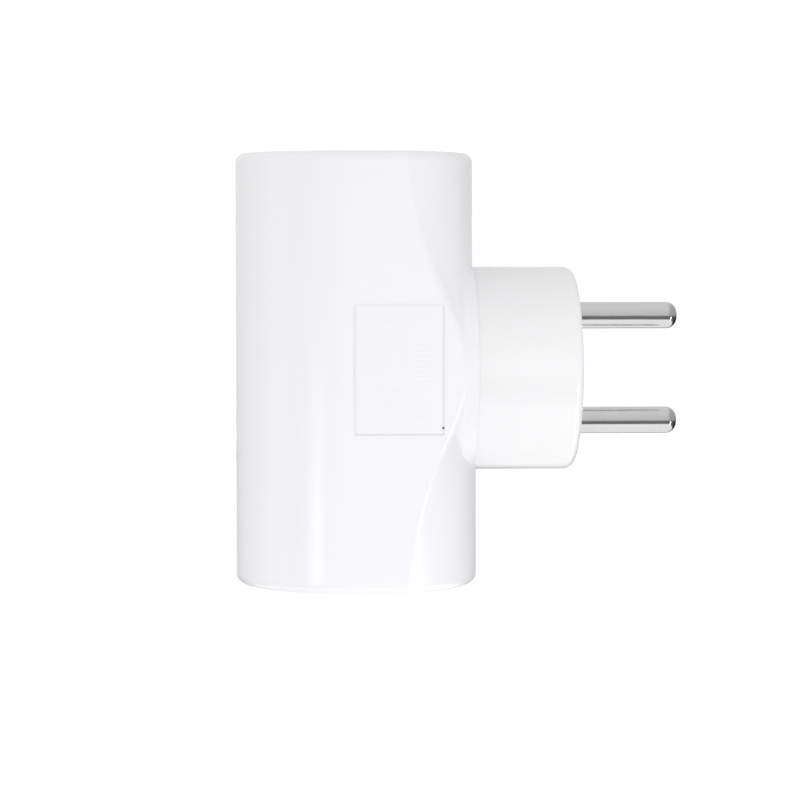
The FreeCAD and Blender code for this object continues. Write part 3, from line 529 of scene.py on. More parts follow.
@dataclass(frozen=True)
class LabelPrint:
    """White film with a thin painted shade line round its edges, darker at the bottom and right, a block of stripes,
    rows of plain dashes and one dark dot painted as the shade in a pinhole.
    """

    slot: str = "label_film"
    film: Colour = (0.80, 0.80, 0.815)
    pale: Colour = (0.715, 0.715, 0.73)
    # darker colour of the painted shade along the label's bottom and right edges
    edge_shade_grey: Colour = (0.60, 0.60, 0.615)
    # colour of the dot painted as the shade in a pinhole
    dark: Colour = (0.10, 0.10, 0.10)
    line: float = 0.22
    margin: float = 0.12
    dot: float = 0.22
    dot_from_right: float = 0.28
    dot_height: float = 1.35
    bar_rate: float = 6.9
    bar_level: float = 0.45
    bars_at: tuple[float, float, float, float] = (10.4, 13.0, 9.2, 16.0)
    row_rate: float = 4.2
    row_level: float = 0.55
    word_grain: Colour = (1400, 1, 620)
    upper_text: tuple[float, float, float, float] = (1.4, 9.2, 10.5, 20.8)
    lower_text: tuple[float, float, float, float] = (1.4, 12.6, 3.0, 8.6)

    def material(self) -> bpy.types.Material:
        """Build the film with its print and painted shade, measured in millimetres from the label's own corner.

        Returns:
            The material.
        """
        low, high = box_of("rating_label")
        size = (high - low) * MM
        bench = Bench(self.slot)
        split = bench.node("ShaderNodeSeparateXYZ")
        bench.join(bench.mapped((MM, MM, MM), tuple(-low * MM)), split.inputs[0])
        across, up = split.outputs["X"], split.outputs["Z"]
        near, far = self.margin, self.margin + self.line
        bars = bench.maths("MULTIPLY", self.field(bench, across, up, self.bars_at),
                           self.rows(bench, up, self.bar_rate, self.bar_level))
        print_and_shade_layers = (
            (self.dashes(bench, across, up), 0.16, self.pale),
            (bars, 0.24, self.pale),
            # painted shade lines along the label's edges: paler at the left and top, darker at the bottom and right
            (bench.between(across, near, far), 0.75, self.pale),
            (bench.between(up, size[2] - far, size[2] - near), 0.35, self.pale),
            (bench.between(up, near, far), 0.8, self.edge_shade_grey),
            (bench.between(across, size[0] - far, size[0] - near), 0.8, self.edge_shade_grey),
        )
        print_and_shade = self.film
        for mask, strength, colour in print_and_shade_layers:
            print_and_shade = bench.blend(bench.maths("MULTIPLY", mask, strength), print_and_shade, colour)
        # a dark dot painted as the shade in a pinhole on the right border
        print_and_shade = bench.blend(self.painted_pinhole_shade(bench, across, up, size), print_and_shade, self.dark)
        bench.join(print_and_shade, bench.shader.inputs["Base Color"])
        grain = bench.noise(bench.mapped(), 4500.0, 2.0)
        bench.join(bench.spread(grain, 0.36, 0.42), bench.shader.inputs["Roughness"])
        bench.relief(grain, 1.2e-6)
        return bench.material

    def rows(self, bench: Bench, up: bpy.types.NodeSocket, rate: float, level: float) -> bpy.types.NodeSocket:
        """Level lines where the sine of the height is over a level."""
        return bench.maths("GREATER_THAN", bench.maths("SINE", bench.maths("MULTIPLY", up, rate)), level)

    def field(self, bench: Bench, across: bpy.types.NodeSocket, up: bpy.types.NodeSocket,
              at: tuple[float, float, float, float]) -> bpy.types.NodeSocket:
        """One inside an upright rectangle, given as left, right, lowest and highest."""
        return bench.maths("MULTIPLY", bench.between(across, at[0], at[1]), bench.between(up, at[2], at[3]))

    def dashes(self, bench: Bench, across: bpy.types.NodeSocket, up: bpy.types.NodeSocket) -> bpy.types.NodeSocket:
        """Rows of short plain dashes in two columns, standing for small print without any letters."""
        row = self.rows(bench, up, self.row_rate, self.row_level)
        word = bench.maths("GREATER_THAN", bench.noise(bench.mapped(self.word_grain), 1.0, 1.0), 0.50)
        field = bench.maths("ADD", self.field(bench, across, up, self.upper_text),
                            self.field(bench, across, up, self.lower_text))
        return bench.maths("MULTIPLY", bench.maths("MULTIPLY", row, word), field)

    def painted_pinhole_shade(self, bench: Bench, across: bpy.types.NodeSocket, up: bpy.types.NodeSocket,
             size: Points) -> bpy.types.NodeSocket:
        """Round dark dot painted as the shade in a pinhole, on the right border near its lower end."""
        aside = bench.maths("SUBTRACT", across, size[0] - self.dot_from_right)
        above = bench.maths("SUBTRACT", up, self.dot_height)
        away = bench.maths("SQRT", bench.maths("ADD", bench.maths("MULTIPLY", aside, aside),
                                               bench.maths("MULTIPLY", above, above)))
        return bench.maths("LESS_THAN", away, self.dot)


def metal(slot: str, colour: Colour, roughness: float, grain_size: float, relief: float,
          stretch: Colour = (1, 1, 1), tint: float = 0.02) -> Finish:
    """Brushed bare metal."""
    return Finish(slot, colour, roughness, Grain.BRUSHED, 1.0, grain_size, relief, tint, stretch=stretch)


FINISHES = (
    Finish("white_shell", (0.80, 0.80, 0.815), 0.24, relief=0.35e-6, tint=0.004, grain_size=0.35e-3),
    Finish("plug_plastic", (0.80, 0.80, 0.812), 0.25, relief=0.06e-6, tint=0.002, grain_size=0.35e-3),
    Finish("button_plastic", (0.76, 0.765, 0.775), 0.34, relief=2.0e-6, tint=0.01),
    metal("nickel", (0.60, 0.60, 0.60), 0.15, 0.35e-3, 7e-6, (0.12, 1, 1), 0.05),
    metal("brass_strip", (0.72, 0.52, 0.22), 0.26, 0.12e-3, 1.5e-6, (0.08, 1, 1), 0.08),
    Finish("board_laminate", (0.012, 0.13, 0.05), 0.30, grain=Grain.LAMINATE, relief=25e-6, second=(0.62, 0.60, 0.55)),
    metal("screw_steel", (0.56, 0.57, 0.60), 0.28, 0.08e-3, 1e-6),
    metal("gold_pins", (0.85, 0.62, 0.22), 0.20, 0.08e-3, 0.8e-6, (1, 1, 0.1), 0.05),
    Finish("black_moulding", (0.022, 0.022, 0.025), 0.42, relief=5e-6, tint=0.15),
    Finish("barrier_film", (0.78, 0.74, 0.60), 0.46, relief=4e-6, tint=0.05, coat=0.2),
    metal("tin_plate", (0.70, 0.70, 0.71), 0.24, 0.12e-3, 1.5e-6, (1, 1, 0.08), 0.06),
    Finish("switch_moulding", (0.035, 0.035, 0.04), 0.50, relief=4e-6, tint=0.12),
    Finish("stem_moulding", (0.66, 0.64, 0.56), 0.48, relief=3e-6, tint=0.05),
    Finish("led_body", (0.86, 0.84, 0.60), 0.30, relief=2e-6, tint=0.04, coat=0.4),
    Finish("clear_guide", (0.86, 0.90, 0.92), 0.30, grain=Grain.CLEAR, relief=3e-6, tint=0.01, ior=1.49),
    Finish("chip_epoxy", (0.022, 0.022, 0.024), 0.56, relief=7e-6, tint=0.15, grain_size=0.12e-3),
    Finish("pad_silicone", (0.42, 0.50, 0.60), 0.72, relief=9e-6, tint=0.06),
    metal("sink_aluminium", (0.74, 0.75, 0.77), 0.32, 0.15e-3, 3e-6, (1, 1, 0.06), 0.05),
    metal("crystal_can", (0.74, 0.73, 0.71), 0.22, 0.10e-3, 1e-6),
    Finish("ferrite", (0.045, 0.044, 0.046), 0.62, grain=Grain.SINTERED, relief=10e-6, grain_size=0.16e-3,
           second=(0.10, 0.10, 0.105)),
    Finish("copper_wire", (0.60, 0.21, 0.07), 0.24, metallic=0.85, relief=1e-6, tint=0.10, coat=0.5),
    Finish("film_box", (0.78, 0.58, 0.06), 0.34, relief=3e-6, tint=0.05),
    Finish("coil_tape", (0.80, 0.60, 0.10), 0.38, grain=Grain.WOUND, relief=20e-6, tint=0.06,
           second=(0.42, 0.28, 0.04)),
    Finish("bobbin_moulding", (0.03, 0.03, 0.032), 0.50, relief=6e-6, tint=0.12),
    Finish("can_sleeve", (0.03, 0.035, 0.10), 0.26, relief=1.5e-6, tint=0.10, coat=0.3),
    Finish("blue_coating", (0.03, 0.13, 0.42), 0.22, relief=12e-6, tint=0.12, coat=0.6, grain_size=0.6e-3),
    Finish("fuse_cap", (0.16, 0.07, 0.035), 0.40, relief=4e-6, tint=0.12),
)


class Paintbox:
    """All materials by slot name, made once."""

    def __init__(self) -> None:
        """Make every finish."""
        self.by_slot = {finish.slot: finish.material() for finish in FINISHES}
        self.by_slot["label_film"] = LabelPrint().material()

    def __getitem__(self, slot: str) -> bpy.types.Material:
        """Material of a slot."""
        return self.by_slot[slot]

    def dress_nodes(self) -> int:
        """Give every CAD node the finish of its slot.

        Returns:
            How many nodes were dressed.
        """
        count = 0
        for part in frame["record"]["subparts"]:
            node = frame["nodes"][part["node"]]
            material = self[part["material_slot"]]
            if not node.material_slots:
                node.data.materials.append(material)
            for place in node.material_slots:
                place.material = material
            count += 1
        return count


# ---------------------------------------------------------------- outside pieces
@dataclass
class RatingLabel:
    """Thin film label on the flat side."""

    corner: float = 0.5e-3
    edge: float = 0.05e-3

    def build(self, paint: Paintbox) -> None:
        """Rounded sheet with softened edges, in the label's own box.

        Args:
            paint: the finishes.
        """
        low, high = box_of("rating_label")
        sheet = rounded_block(low, high, 1, self.corner, self.edge, steps=6)
        make_piece("printed_label", [sheet], paint, "rating_label", ["label_film"])


@dataclass
class MainsPin:
    """Round solid pin: thin stub, shank in the plug, full diameter outside and a rounded tip."""

    node: str
    tip_radius: float = 1.9e-3
    shank_radius: float = 2.2e-3
    stub_radius: float = 1.5e-3
    stub_length: float = 2.2e-3
    shoulder: float = 0.02e-3
    stub_edge: float = 0.25e-3
    sides: int = 96

    def profile(self, start: float, end: float, radius: float) -> Points:
        """Outline from the stub's end to the tip.

        Args:
            start: where the stub begins.
            end: the tip.
            radius: the pin's radius outside the face.

        Returns:
            Rows of place along the pin and radius. The tip is a quarter circle of the tip radius.
        """
        round_off = arc(0, 90, 16)
        tip_along = end - self.tip_radius + self.tip_radius * np.sin(round_off)
        tip_out = radius - self.tip_radius + self.tip_radius * np.cos(round_off)
        stub_along = start + self.stub_edge * (1 - np.cos(arc(0, 90, 5)))
        stub_out = self.stub_radius - self.stub_edge * (1 - np.sin(arc(0, 90, 5)))
        rows = [(start, 0.0), *zip(stub_along, stub_out)]
        rows += [(start + self.stub_length, self.stub_radius), (start + self.stub_length, self.shank_radius)]
        rows += [(self.shoulder, self.shank_radius), (self.shoulder, radius - 0.1e-3), (self.shoulder + 0.1e-3, radius)]
        rows += [*zip(tip_along, tip_out), (end, 0.0)]
        return np.array(rows)

    def build(self, paint: Paintbox) -> None:
        """Turn the pin on its own axis.

        Args:
            paint: the finishes.
        """
        low, high = box_of(self.node)
        radius = (high[1] - low[1]) / 2
        turned = lathe(self.profile(low[0], high[0], radius), 0, (low + high) / 2, self.sides)
        make_piece("turned_" + self.node, [turned], paint, self.node, ["nickel"])


@dataclass
class PairButton:
    """Round cap that follows the body's front, with a shallow dish, a flange behind the wall and a plunger."""

    sunk: float = 0.22e-3
    dish: float = 0.12e-3
    rim: float = 0.35e-3
    flange_out: float = 1.1e-3
    flange_thick: float = 1.0e-3
    plunger_radius: float = 1.7e-3
    front_radius: float = 20.5e-3
    front_wall: float = 2.0e-3
    proud: float = 0.3e-3
    flange_edge: float = 0.1e-3
    plunger_edge: float = 0.15e-3
    sides: int = 96
    rows: int = 22

    def build(self, paint: Paintbox) -> None:
        """Make the cap.

        The front's depth at a point is the body's round front, moved out to the cap's nearest point, plus the dish
        (a raised cosine that fades towards the rim) and a quarter round at the rim.

        Args:
            paint: the finishes.
        """
        low, high = box_of("pair_button")
        middle = (low + high) / 2
        flange_radius = (high[2] - low[2]) / 2
        radius = flange_radius - self.flange_out
        angle = turns(self.sides)
        share = np.linspace(0, 1, self.rows)[:, None]
        out = (radius - self.rim) * share
        turn = arc(0, 90, 8)[1:, None]
        out = np.vstack([out, radius - self.rim + self.rim * np.sin(turn)])
        drop = np.vstack([0 * share, self.rim * (1 - np.cos(turn))])
        hollow = self.dish * 0.5 * (1 + np.cos(np.pi * np.clip(out / (radius * 0.86), 0, 1)))
        across = out * np.cos(angle)
        curve = self.front_radius - np.sqrt(self.front_radius**2 - across**2)
        face = low[0] + self.sunk + curve + drop + hollow
        y, z = middle[1] + across, middle[2] + out * np.sin(angle)
        cap = np.stack([face, y, z], axis=-1)
        flange_x = self.flange_start(low[0], flange_radius)
        back = lathe(np.array([
            (flange_x, radius), (flange_x, flange_radius - self.flange_edge),
            (flange_x + self.flange_edge, flange_radius),
            (flange_x + self.flange_thick, flange_radius), (flange_x + self.flange_thick, self.plunger_radius),
            (high[0] - self.plunger_edge, self.plunger_radius),
            (high[0], self.plunger_radius - self.plunger_edge), (high[0], 0.0),
        ]), 0, middle, self.sides).points
        grid = np.concatenate([cap, back])
        make_piece("pair_button_cap", [Surface(grid, columns_close=True)], paint, "pair_button", ["button_plastic"],
                   "pair_button")

    def flange_start(self, nose: float, flange_radius: float) -> float:
        """Front of the flange: just behind the cover's inner wall where the flange's edge meets it."""
        axis = nose + self.proud + self.front_radius
        return axis - math.sqrt((self.front_radius - self.front_wall) ** 2 - flange_radius**2) + self.flange_edge


@dataclass
class JackContacts:
    """Eight sprung wires in the network jack."""

    count: int = 8
    pitch: float = 1.02e-3
    radius: float = 0.2e-3

    def build(self, paint: Paintbox) -> None:
        """Each wire comes down the wall from the top, then bends and slants across the mouth to its tip.

        Args:
            paint: the finishes.
        """
        low, high = box_of("jack_contacts")
        front, back = low[0] + self.radius, high[0] - self.radius
        top, bottom = high[2], low[2]
        wires = []
        for i in range(self.count):
            y = (i - (self.count - 1) / 2) * self.pitch
            rise = top - bottom
            route = [(back, y, top), (back, y, top - 0.10 * rise), (back - 0.12e-3, y, top - 0.17 * rise),
                     ((front + back) / 2, y, bottom + 0.42 * rise), (front + 0.10e-3, y, bottom + 0.08 * rise),
                     (front, y, bottom)]
            wires.append(sweep(smooth_path(route), round_wire(self.radius), np.array([0.0, 1.0, 0.0])))
        make_piece("jack_contact_wires", wires, paint, "jack_contacts", ["gold_pins"])


# ---------------------------------------------------------------- inside pieces
@dataclass
class BoardScrews:
    """Pan-head screws with a cross recess and a real thread."""

    node: str
    direction: int
    head_radius: float = 1.9e-3
    head_height: float = 1.3e-3
    shank_radius: float = 0.86e-3
    thread_height: float = 0.14e-3
    thread_pitch: float = 0.8e-3
    recess: float = 0.7e-3
    arm: float = 1.2e-3
    slot: float = 0.225e-3
    dome_height: float = 0.45e-3

    def head(self, place: Points, sides: int = 72, rows: int = 18) -> Points:
        """Domed head seen from its axis: a low dome, less a cross whose walls fall steeply."""
        angle = turns(sides)
        out = np.linspace(0, 1, rows)[:, None] * self.head_radius
        y, z = out * np.cos(angle), out * np.sin(angle)
        dome = self.dome_height * (1 - (out / self.head_radius) ** 4)

        def trough(u: Points, v: Points) -> Points:
            """One arm of the cross: one inside, falling to nought over a tenth of a millimetre."""
            near = np.clip((self.slot + 0.1e-3 - np.abs(u)) / 0.1e-3, 0, 1)
            far = np.clip((self.arm - np.abs(v)) / 0.3e-3, 0, 1)
            return near * far

        cross = np.maximum(trough(y, z), trough(z, y))
        height = self.head_height - self.dome_height + dome - self.recess * cross
        return np.stack([place[0] - self.direction * height, place[1] + y, place[2] + z], axis=-1)

    def shank(self, place: Points, length: float, sides: int = 36, rows: int = 90) -> Points:
        """Threaded shank: the radius rises and falls once in each pitch, and the crest moves with the turn."""
        angle = turns(sides)
        along = np.linspace(0, 1, rows)[:, None] * length
        phase = (along / self.thread_pitch - angle / (2 * math.pi)) % 1.0
        crest = np.clip(1 - np.abs(phase - 0.5) * 4, 0, 1)
        taper = np.clip((length - along) / (1.2 * self.thread_pitch), 0.25, 1)
        radius = (self.shank_radius - self.thread_height + self.thread_height * crest) * taper
        return np.stack([place[0] + self.direction * along + 0 * angle, place[1] + radius * np.cos(angle),
                         place[2] + radius * np.sin(angle)], axis=-1)

    def build(self, paint: Paintbox) -> None:
        """Make one screw at each corner of the node's box.

        Args:
            paint: the finishes.
        """
        low, high = box_of(self.node)
        inset = self.head_radius
        seat = low[0] + self.head_height if self.direction > 0 else high[0] - self.head_height
        length = (high[0] - low[0]) - self.head_height
        grids = []
        for y in (low[1] + inset, high[1] - inset):
            for z in (low[2] + inset, high[2] - inset):
                place = np.array([seat, y, z])
                head = self.head(place)
                shank = self.shank(place, length)
                sides = head.shape[1]
                skirt = head[-1:].copy()
                skirt[..., 0] = seat
                floor = np.broadcast_to(place, (1, sides, 3))
                grids.append(Surface(np.concatenate([head, skirt, floor]), columns_close=True))
                first = np.broadcast_to(place, (1, shank.shape[1], 3))
                last = np.broadcast_to(place + [self.direction * length, 0, 0], (1, shank.shape[1], 3))
                grids.append(Surface(np.concatenate([first, shank, last]), columns_close=True))
        make_piece("threaded_" + self.node, grids, paint, self.node, ["screw_steel"])


@dataclass
class LineChoke:
    """Ferrite ring with two hand-wound coils."""

    wire: float = 0.31e-3
    turns_each: int = 6
    sweep_angle: float = 50.0
    edge: float = 0.45e-3
    ring_wall: float = 2.5e-3
    squareness: float = 0.55

    def build(self, paint: Paintbox) -> None:
        """Make the ring and both coils.

        The ring is a rounded rectangle carried round x. Each coil's wire goes round the ring's cross-section, which is
        a squared circle (sine and cosine raised to a low power), while it moves along its arc.

        Args:
            paint: the finishes.
        """
        low, high = box_of("choke_core")
        middle = (low + high) / 2
        outer = (high[1] - low[1]) / 2
        inner = outer - self.ring_wall
        quarter = arc(0, 90, 6)
        edge = self.edge
        rows = []
        for x, r, sx, sr in ((high[0], outer, 1, 1), (high[0], inner, 1, -1), (low[0], inner, -1, -1),
                             (low[0], outer, -1, 1)):
            angle = quarter if sx == sr else quarter[::-1]
            along = x - sx * edge + sx * edge * np.sin(angle)
            out = r - sr * edge + sr * edge * np.cos(angle)
            rows += list(zip(along, out))
        ring = lathe(np.array(rows), 0, middle, 96)
        ring = Surface(ring.points, rows_close=True, columns_close=True)
        make_piece("choke_ring", [ring], paint, "choke_core", ["ferrite"])
        for node, side in (("choke_winding_left", -1), ("choke_winding_right", 1)):
            coil = self.coil(middle, (outer + inner) / 2, (outer - inner) / 2, (high[0] - low[0]) / 2, side)
            make_piece(node.replace("winding", "coil"), [coil], paint, node, ["copper_wire"])

    def coil(self, middle: Points, radius: float, half_out: float, half_deep: float, side: int) -> Surface:
        """One coil's wire."""
        t = np.linspace(0, 1, self.turns_each * 30)
        round_section = 2 * math.pi * self.turns_each * t
        place = np.radians(self.sweep_angle) * (2 * t - 1)
        cosine, sine = np.cos(round_section), np.sin(round_section)
        reach_out = half_out + self.wire + 0.06e-3
        reach_deep = half_deep + self.wire + 0.04e-3
        out = radius + reach_out * np.sign(cosine) * np.abs(cosine) ** self.squareness
        deep = reach_deep * np.sign(sine) * np.abs(sine) ** self.squareness
        y, z = middle[1] + side * out * np.cos(place), middle[2] + out * np.sin(place)
        path = np.stack([middle[0] + deep, y, z], axis=-1)
        along = np.stack([0 * t, -side * np.sin(place), np.cos(place)], axis=-1)
        return sweep(path, round_wire(self.wire, 12), along)


@dataclass
class CouplingCoil:
    """Fine coil in the coupling transformer's window."""

    wire: float = 0.14e-3
    bore: float = 1.1e-3
    steps: int = 28

    def build(self, paint: Paintbox) -> None:
        """Wind the coil as a helix of touching turns over a plain sleeve.

        Args:
            paint: the finishes.
        """
        low, high = box_of("coupling_winding")
        middle = (low + high) / 2
        outer = (high[1] - low[1]) / 2
        inner = self.bore
        count = int((high[0] - low[0]) / (2.1 * self.wire))
        t = np.linspace(0, 1, count * self.steps)
        angle = 2 * math.pi * count * t
        along = low[0] + self.wire + (high[0] - low[0] - 2 * self.wire) * t
        radius = outer - self.wire
        path = np.stack([along, middle[1] + radius * np.cos(angle), middle[2] + radius * np.sin(angle)], axis=-1)
        wire = sweep(path, round_wire(self.wire, 8), np.array([1.0, 0.0, 0.0]))
        outline = np.array([(low[0], inner), (low[0], radius), (high[0], radius), (high[0], inner)])
        sleeve = lathe(outline, 0, middle, 48)
        sleeve = Surface(sleeve.points, rows_close=True, columns_close=True, finish=1)
        make_piece("coupling_coil", [wire, sleeve], paint, "coupling_winding", ["copper_wire", "bobbin_moulding"])


@dataclass
class CanCapacitor:
    """Can capacitor in a shrunk sleeve, with its groove, rolled rim and scored end."""

    node: str
    groove_at: float
    groove_deep: float = 0.35e-3
    edge: float = 0.5e-3
    sleeve_lip: float = 0.7
    end_deep: float = 0.12e-3
    lip_slope: float = 0.02e-3
    score_half_width: float = 0.15e-3
    score_deep: float = 0.08e-3

    def build(self, paint: Paintbox) -> None:
        """Turn the sleeve about z, with a bare end inside its lip.

        The groove is a cosine dip in the radius. The bare end is a flat disc with a cross of shallow scores.

        Args:
            paint: the finishes.
        """
        low, high = box_of(self.node)
        middle = (low + high) / 2
        radius = (high[1] - low[1]) / 2
        quarter = arc(0, 90, 7)
        span = np.linspace(low[2] + self.edge, high[2] - self.edge, 60)
        dip = np.clip(1 - np.abs(span - low[2] - self.groove_at) / 0.5e-3, 0, 1)
        wall = radius - self.groove_deep * 0.5 * (1 - np.cos(np.pi * dip))
        bottom = [(low[2] + self.edge * (1 - math.cos(a)), radius - self.edge * (1 - math.sin(a))) for a in quarter]
        top = [(high[2] - self.edge * (1 - math.sin(a)), radius - self.edge * (1 - math.cos(a))) for a in quarter[::-1]]
        lip = radius * self.sleeve_lip
        ends_low = [(low[2], 0.0), (low[2], lip)]
        ends_high = [(high[2], lip), (high[2] - self.end_deep, lip - self.lip_slope)]
        rows = np.array(ends_low + bottom + list(zip(span, wall)) + top + ends_high)
        sleeve = lathe(rows, 2, middle, 72)
        end = self.bare_end(middle, high[2] - self.end_deep, lip - self.lip_slope)
        make_piece("sleeved_" + self.node, [sleeve, end], paint, self.node, ["can_sleeve", "sink_aluminium"])

    def bare_end(self, middle: Points, level: float, radius: float, sides: int = 72, rows: int = 24) -> Surface:
        """Flat metal disc with two crossing scores, each a narrow dip."""
        angle = turns(sides)
        out = np.linspace(1, 0, rows)[:, None] * radius
        x, y = out * np.cos(angle), out * np.sin(angle)
        score = np.clip(1 - np.minimum(np.abs(x), np.abs(y)) / self.score_half_width, 0, 1)
        inside = np.clip((0.9 * radius - out) / (0.1 * radius), 0, 1)
        z = level - self.score_deep * score * inside
        return Surface(np.stack([middle[0] + x, middle[1] + y, z], axis=-1), columns_close=True, finish=1)


@dataclass
class LeggedChip:
    """Moulded chip with bent tin-plated legs on two or four sides, flat against its board."""

    node: str
    legs: int
    outward: int
    sides: Sequence[str] = ("+z", "-z")
    leg_width: float = 0.40e-3
    leg_thick: float = 0.15e-3
    leg_reach: float = 0.9e-3
    margin: float = 0.8e-3
    stand_off: float = 0.1e-3

    def build(self, paint: Paintbox) -> None:
        """Rounded body, stood off its board, with each leg a flat strip bent twice.

        Args:
            paint: the finishes.
        """
        low, high = box_of(self.node)
        board = low[0] if self.outward > 0 else high[0]
        body_low, body_high = low.copy(), high.copy()
        if self.outward > 0:
            body_low[0] += self.stand_off
        else:
            body_high[0] -= self.stand_off
        grids = [rounded_block(body_low, body_high, 0, 0.25e-3, 0.12e-3)]
        height = (high[0] - low[0]) * 0.5
        for side in self.sides:
            grids += self.row_of_legs(low, high, board, height, side)
        make_piece("legged_" + self.node, grids, paint, self.node, ["chip_epoxy", "tin_plate"])

    def row_of_legs(self, low: Points, high: Points, board: float, height: float, side: str) -> list[Surface]:
        """Legs along one side: out of the body, down to the board and out again as a foot."""
        out_axis = 2 if side[1] == "z" else 1
        along_axis = 3 - out_axis
        sign = 1 if side[0] == "+" else -1
        edge = high[out_axis] if sign > 0 else low[out_axis]
        places = np.linspace(low[along_axis] + self.margin, high[along_axis] - self.margin, self.legs)
        rise = self.outward * height
        lift = self.outward * self.leg_thick / 2
        reach = self.leg_reach
        shape = [(rise, -0.2e-3), (rise, 0.25 * reach), (rise * 0.55 + lift, 0.42 * reach), (lift * 1.2, 0.62 * reach),
                 (lift, 0.8 * reach), (lift, reach)]
        legs = []
        across = np.zeros(3)
        across[along_axis] = 1
        for place in places:
            route = np.zeros((len(shape), 3))
            route[:, 0] = [board + s[0] for s in shape]
            route[:, out_axis] = [edge + sign * s[1] for s in shape]
            route[:, along_axis] = place
            outline = flat_strip(self.leg_thick, self.leg_width)
            legs.append(sweep(smooth_path(route, 4), outline, across, finish=1))
        return legs


@dataclass
class PowerTransformer:
    """Taped winding of the mains transformer, with a lap in its tape."""

    corner: float = 1.2e-3
    lap: float = 0.12e-3
    bare_ends: float = 1.0e-3

    def build(self, paint: Paintbox) -> None:
        """Rounded block for the taped coil and a thin overlapping turn of tape on it.

        Args:
            paint: the finishes.
        """
        low, high = box_of("transformer_winding")
        inset = np.array([self.lap, self.lap, 0.0])
        coil = rounded_block(low + inset, high - inset, 2, self.corner, 0.2e-3)
        tape_low, tape_high = low.copy(), high.copy()
        tape_low[2] += self.bare_ends
        tape_high[2] -= self.bare_ends
        tape = rounded_block(tape_low, tape_high, 2, self.corner + self.lap, 0.05e-3)
        make_piece("taped_winding", [coil, tape], paint, "transformer_winding", ["coil_tape"])


# ---------------------------------------------------------------- studio
@dataclass(frozen=True)
class Lamp:
    """Soft area lamp that faces the adapter.

    The bearing is in degrees round z from straight in front, positive towards the plug. The height is above what it
    faces, and away is its level distance from it. Glossy surfaces show it only when it is mirrored.
    """

    name: str
    bearing: float
    height: float
    away: float
    size: tuple[float, float]
    power: float
    mirrored: bool = False
    at_plug: bool = False

    def hang(self, centre: Points) -> None:
        """Put the lamp in the scene.

        Args:
            centre: what it faces.
        """
        data = bpy.data.lights.new(self.name, "AREA")
        data.shape = "RECTANGLE"
        data.size, data.size_y = self.size
        data.energy = self.power
        lamp = bpy.data.objects.new(self.name, data)
        turn = math.radians(self.bearing)
        lamp.location = (centre[0] + self.away * math.sin(turn), centre[1] - self.away * math.cos(turn),
                         centre[2] + self.height)
        lamp.rotation_euler = (math.atan2(self.away, self.height), 0, turn)
        lamp.visible_camera = False
        lamp.visible_glossy = self.mirrored
        bpy.context.scene.collection.objects.link(lamp)


LAMPS = (
    Lamp("front_lamp", 4, 0.10, 0.95, (0.7, 0.5), 2.35),
    Lamp("strip_lamp", -35, -0.057, 0.25, (0.045, 0.08), 0.036, mirrored=True),
    Lamp("low_lamp", 55, -0.17, 0.35, (0.035, 0.20), 0.20, mirrored=True),
    Lamp("plug_lamp", 60, -0.06, 0.6, (0.3, 0.2), 0.9, at_plug=True),
    Lamp("nose_lamp", -80, 0.05, 0.6, (0.3, 0.4), 0.85),
)


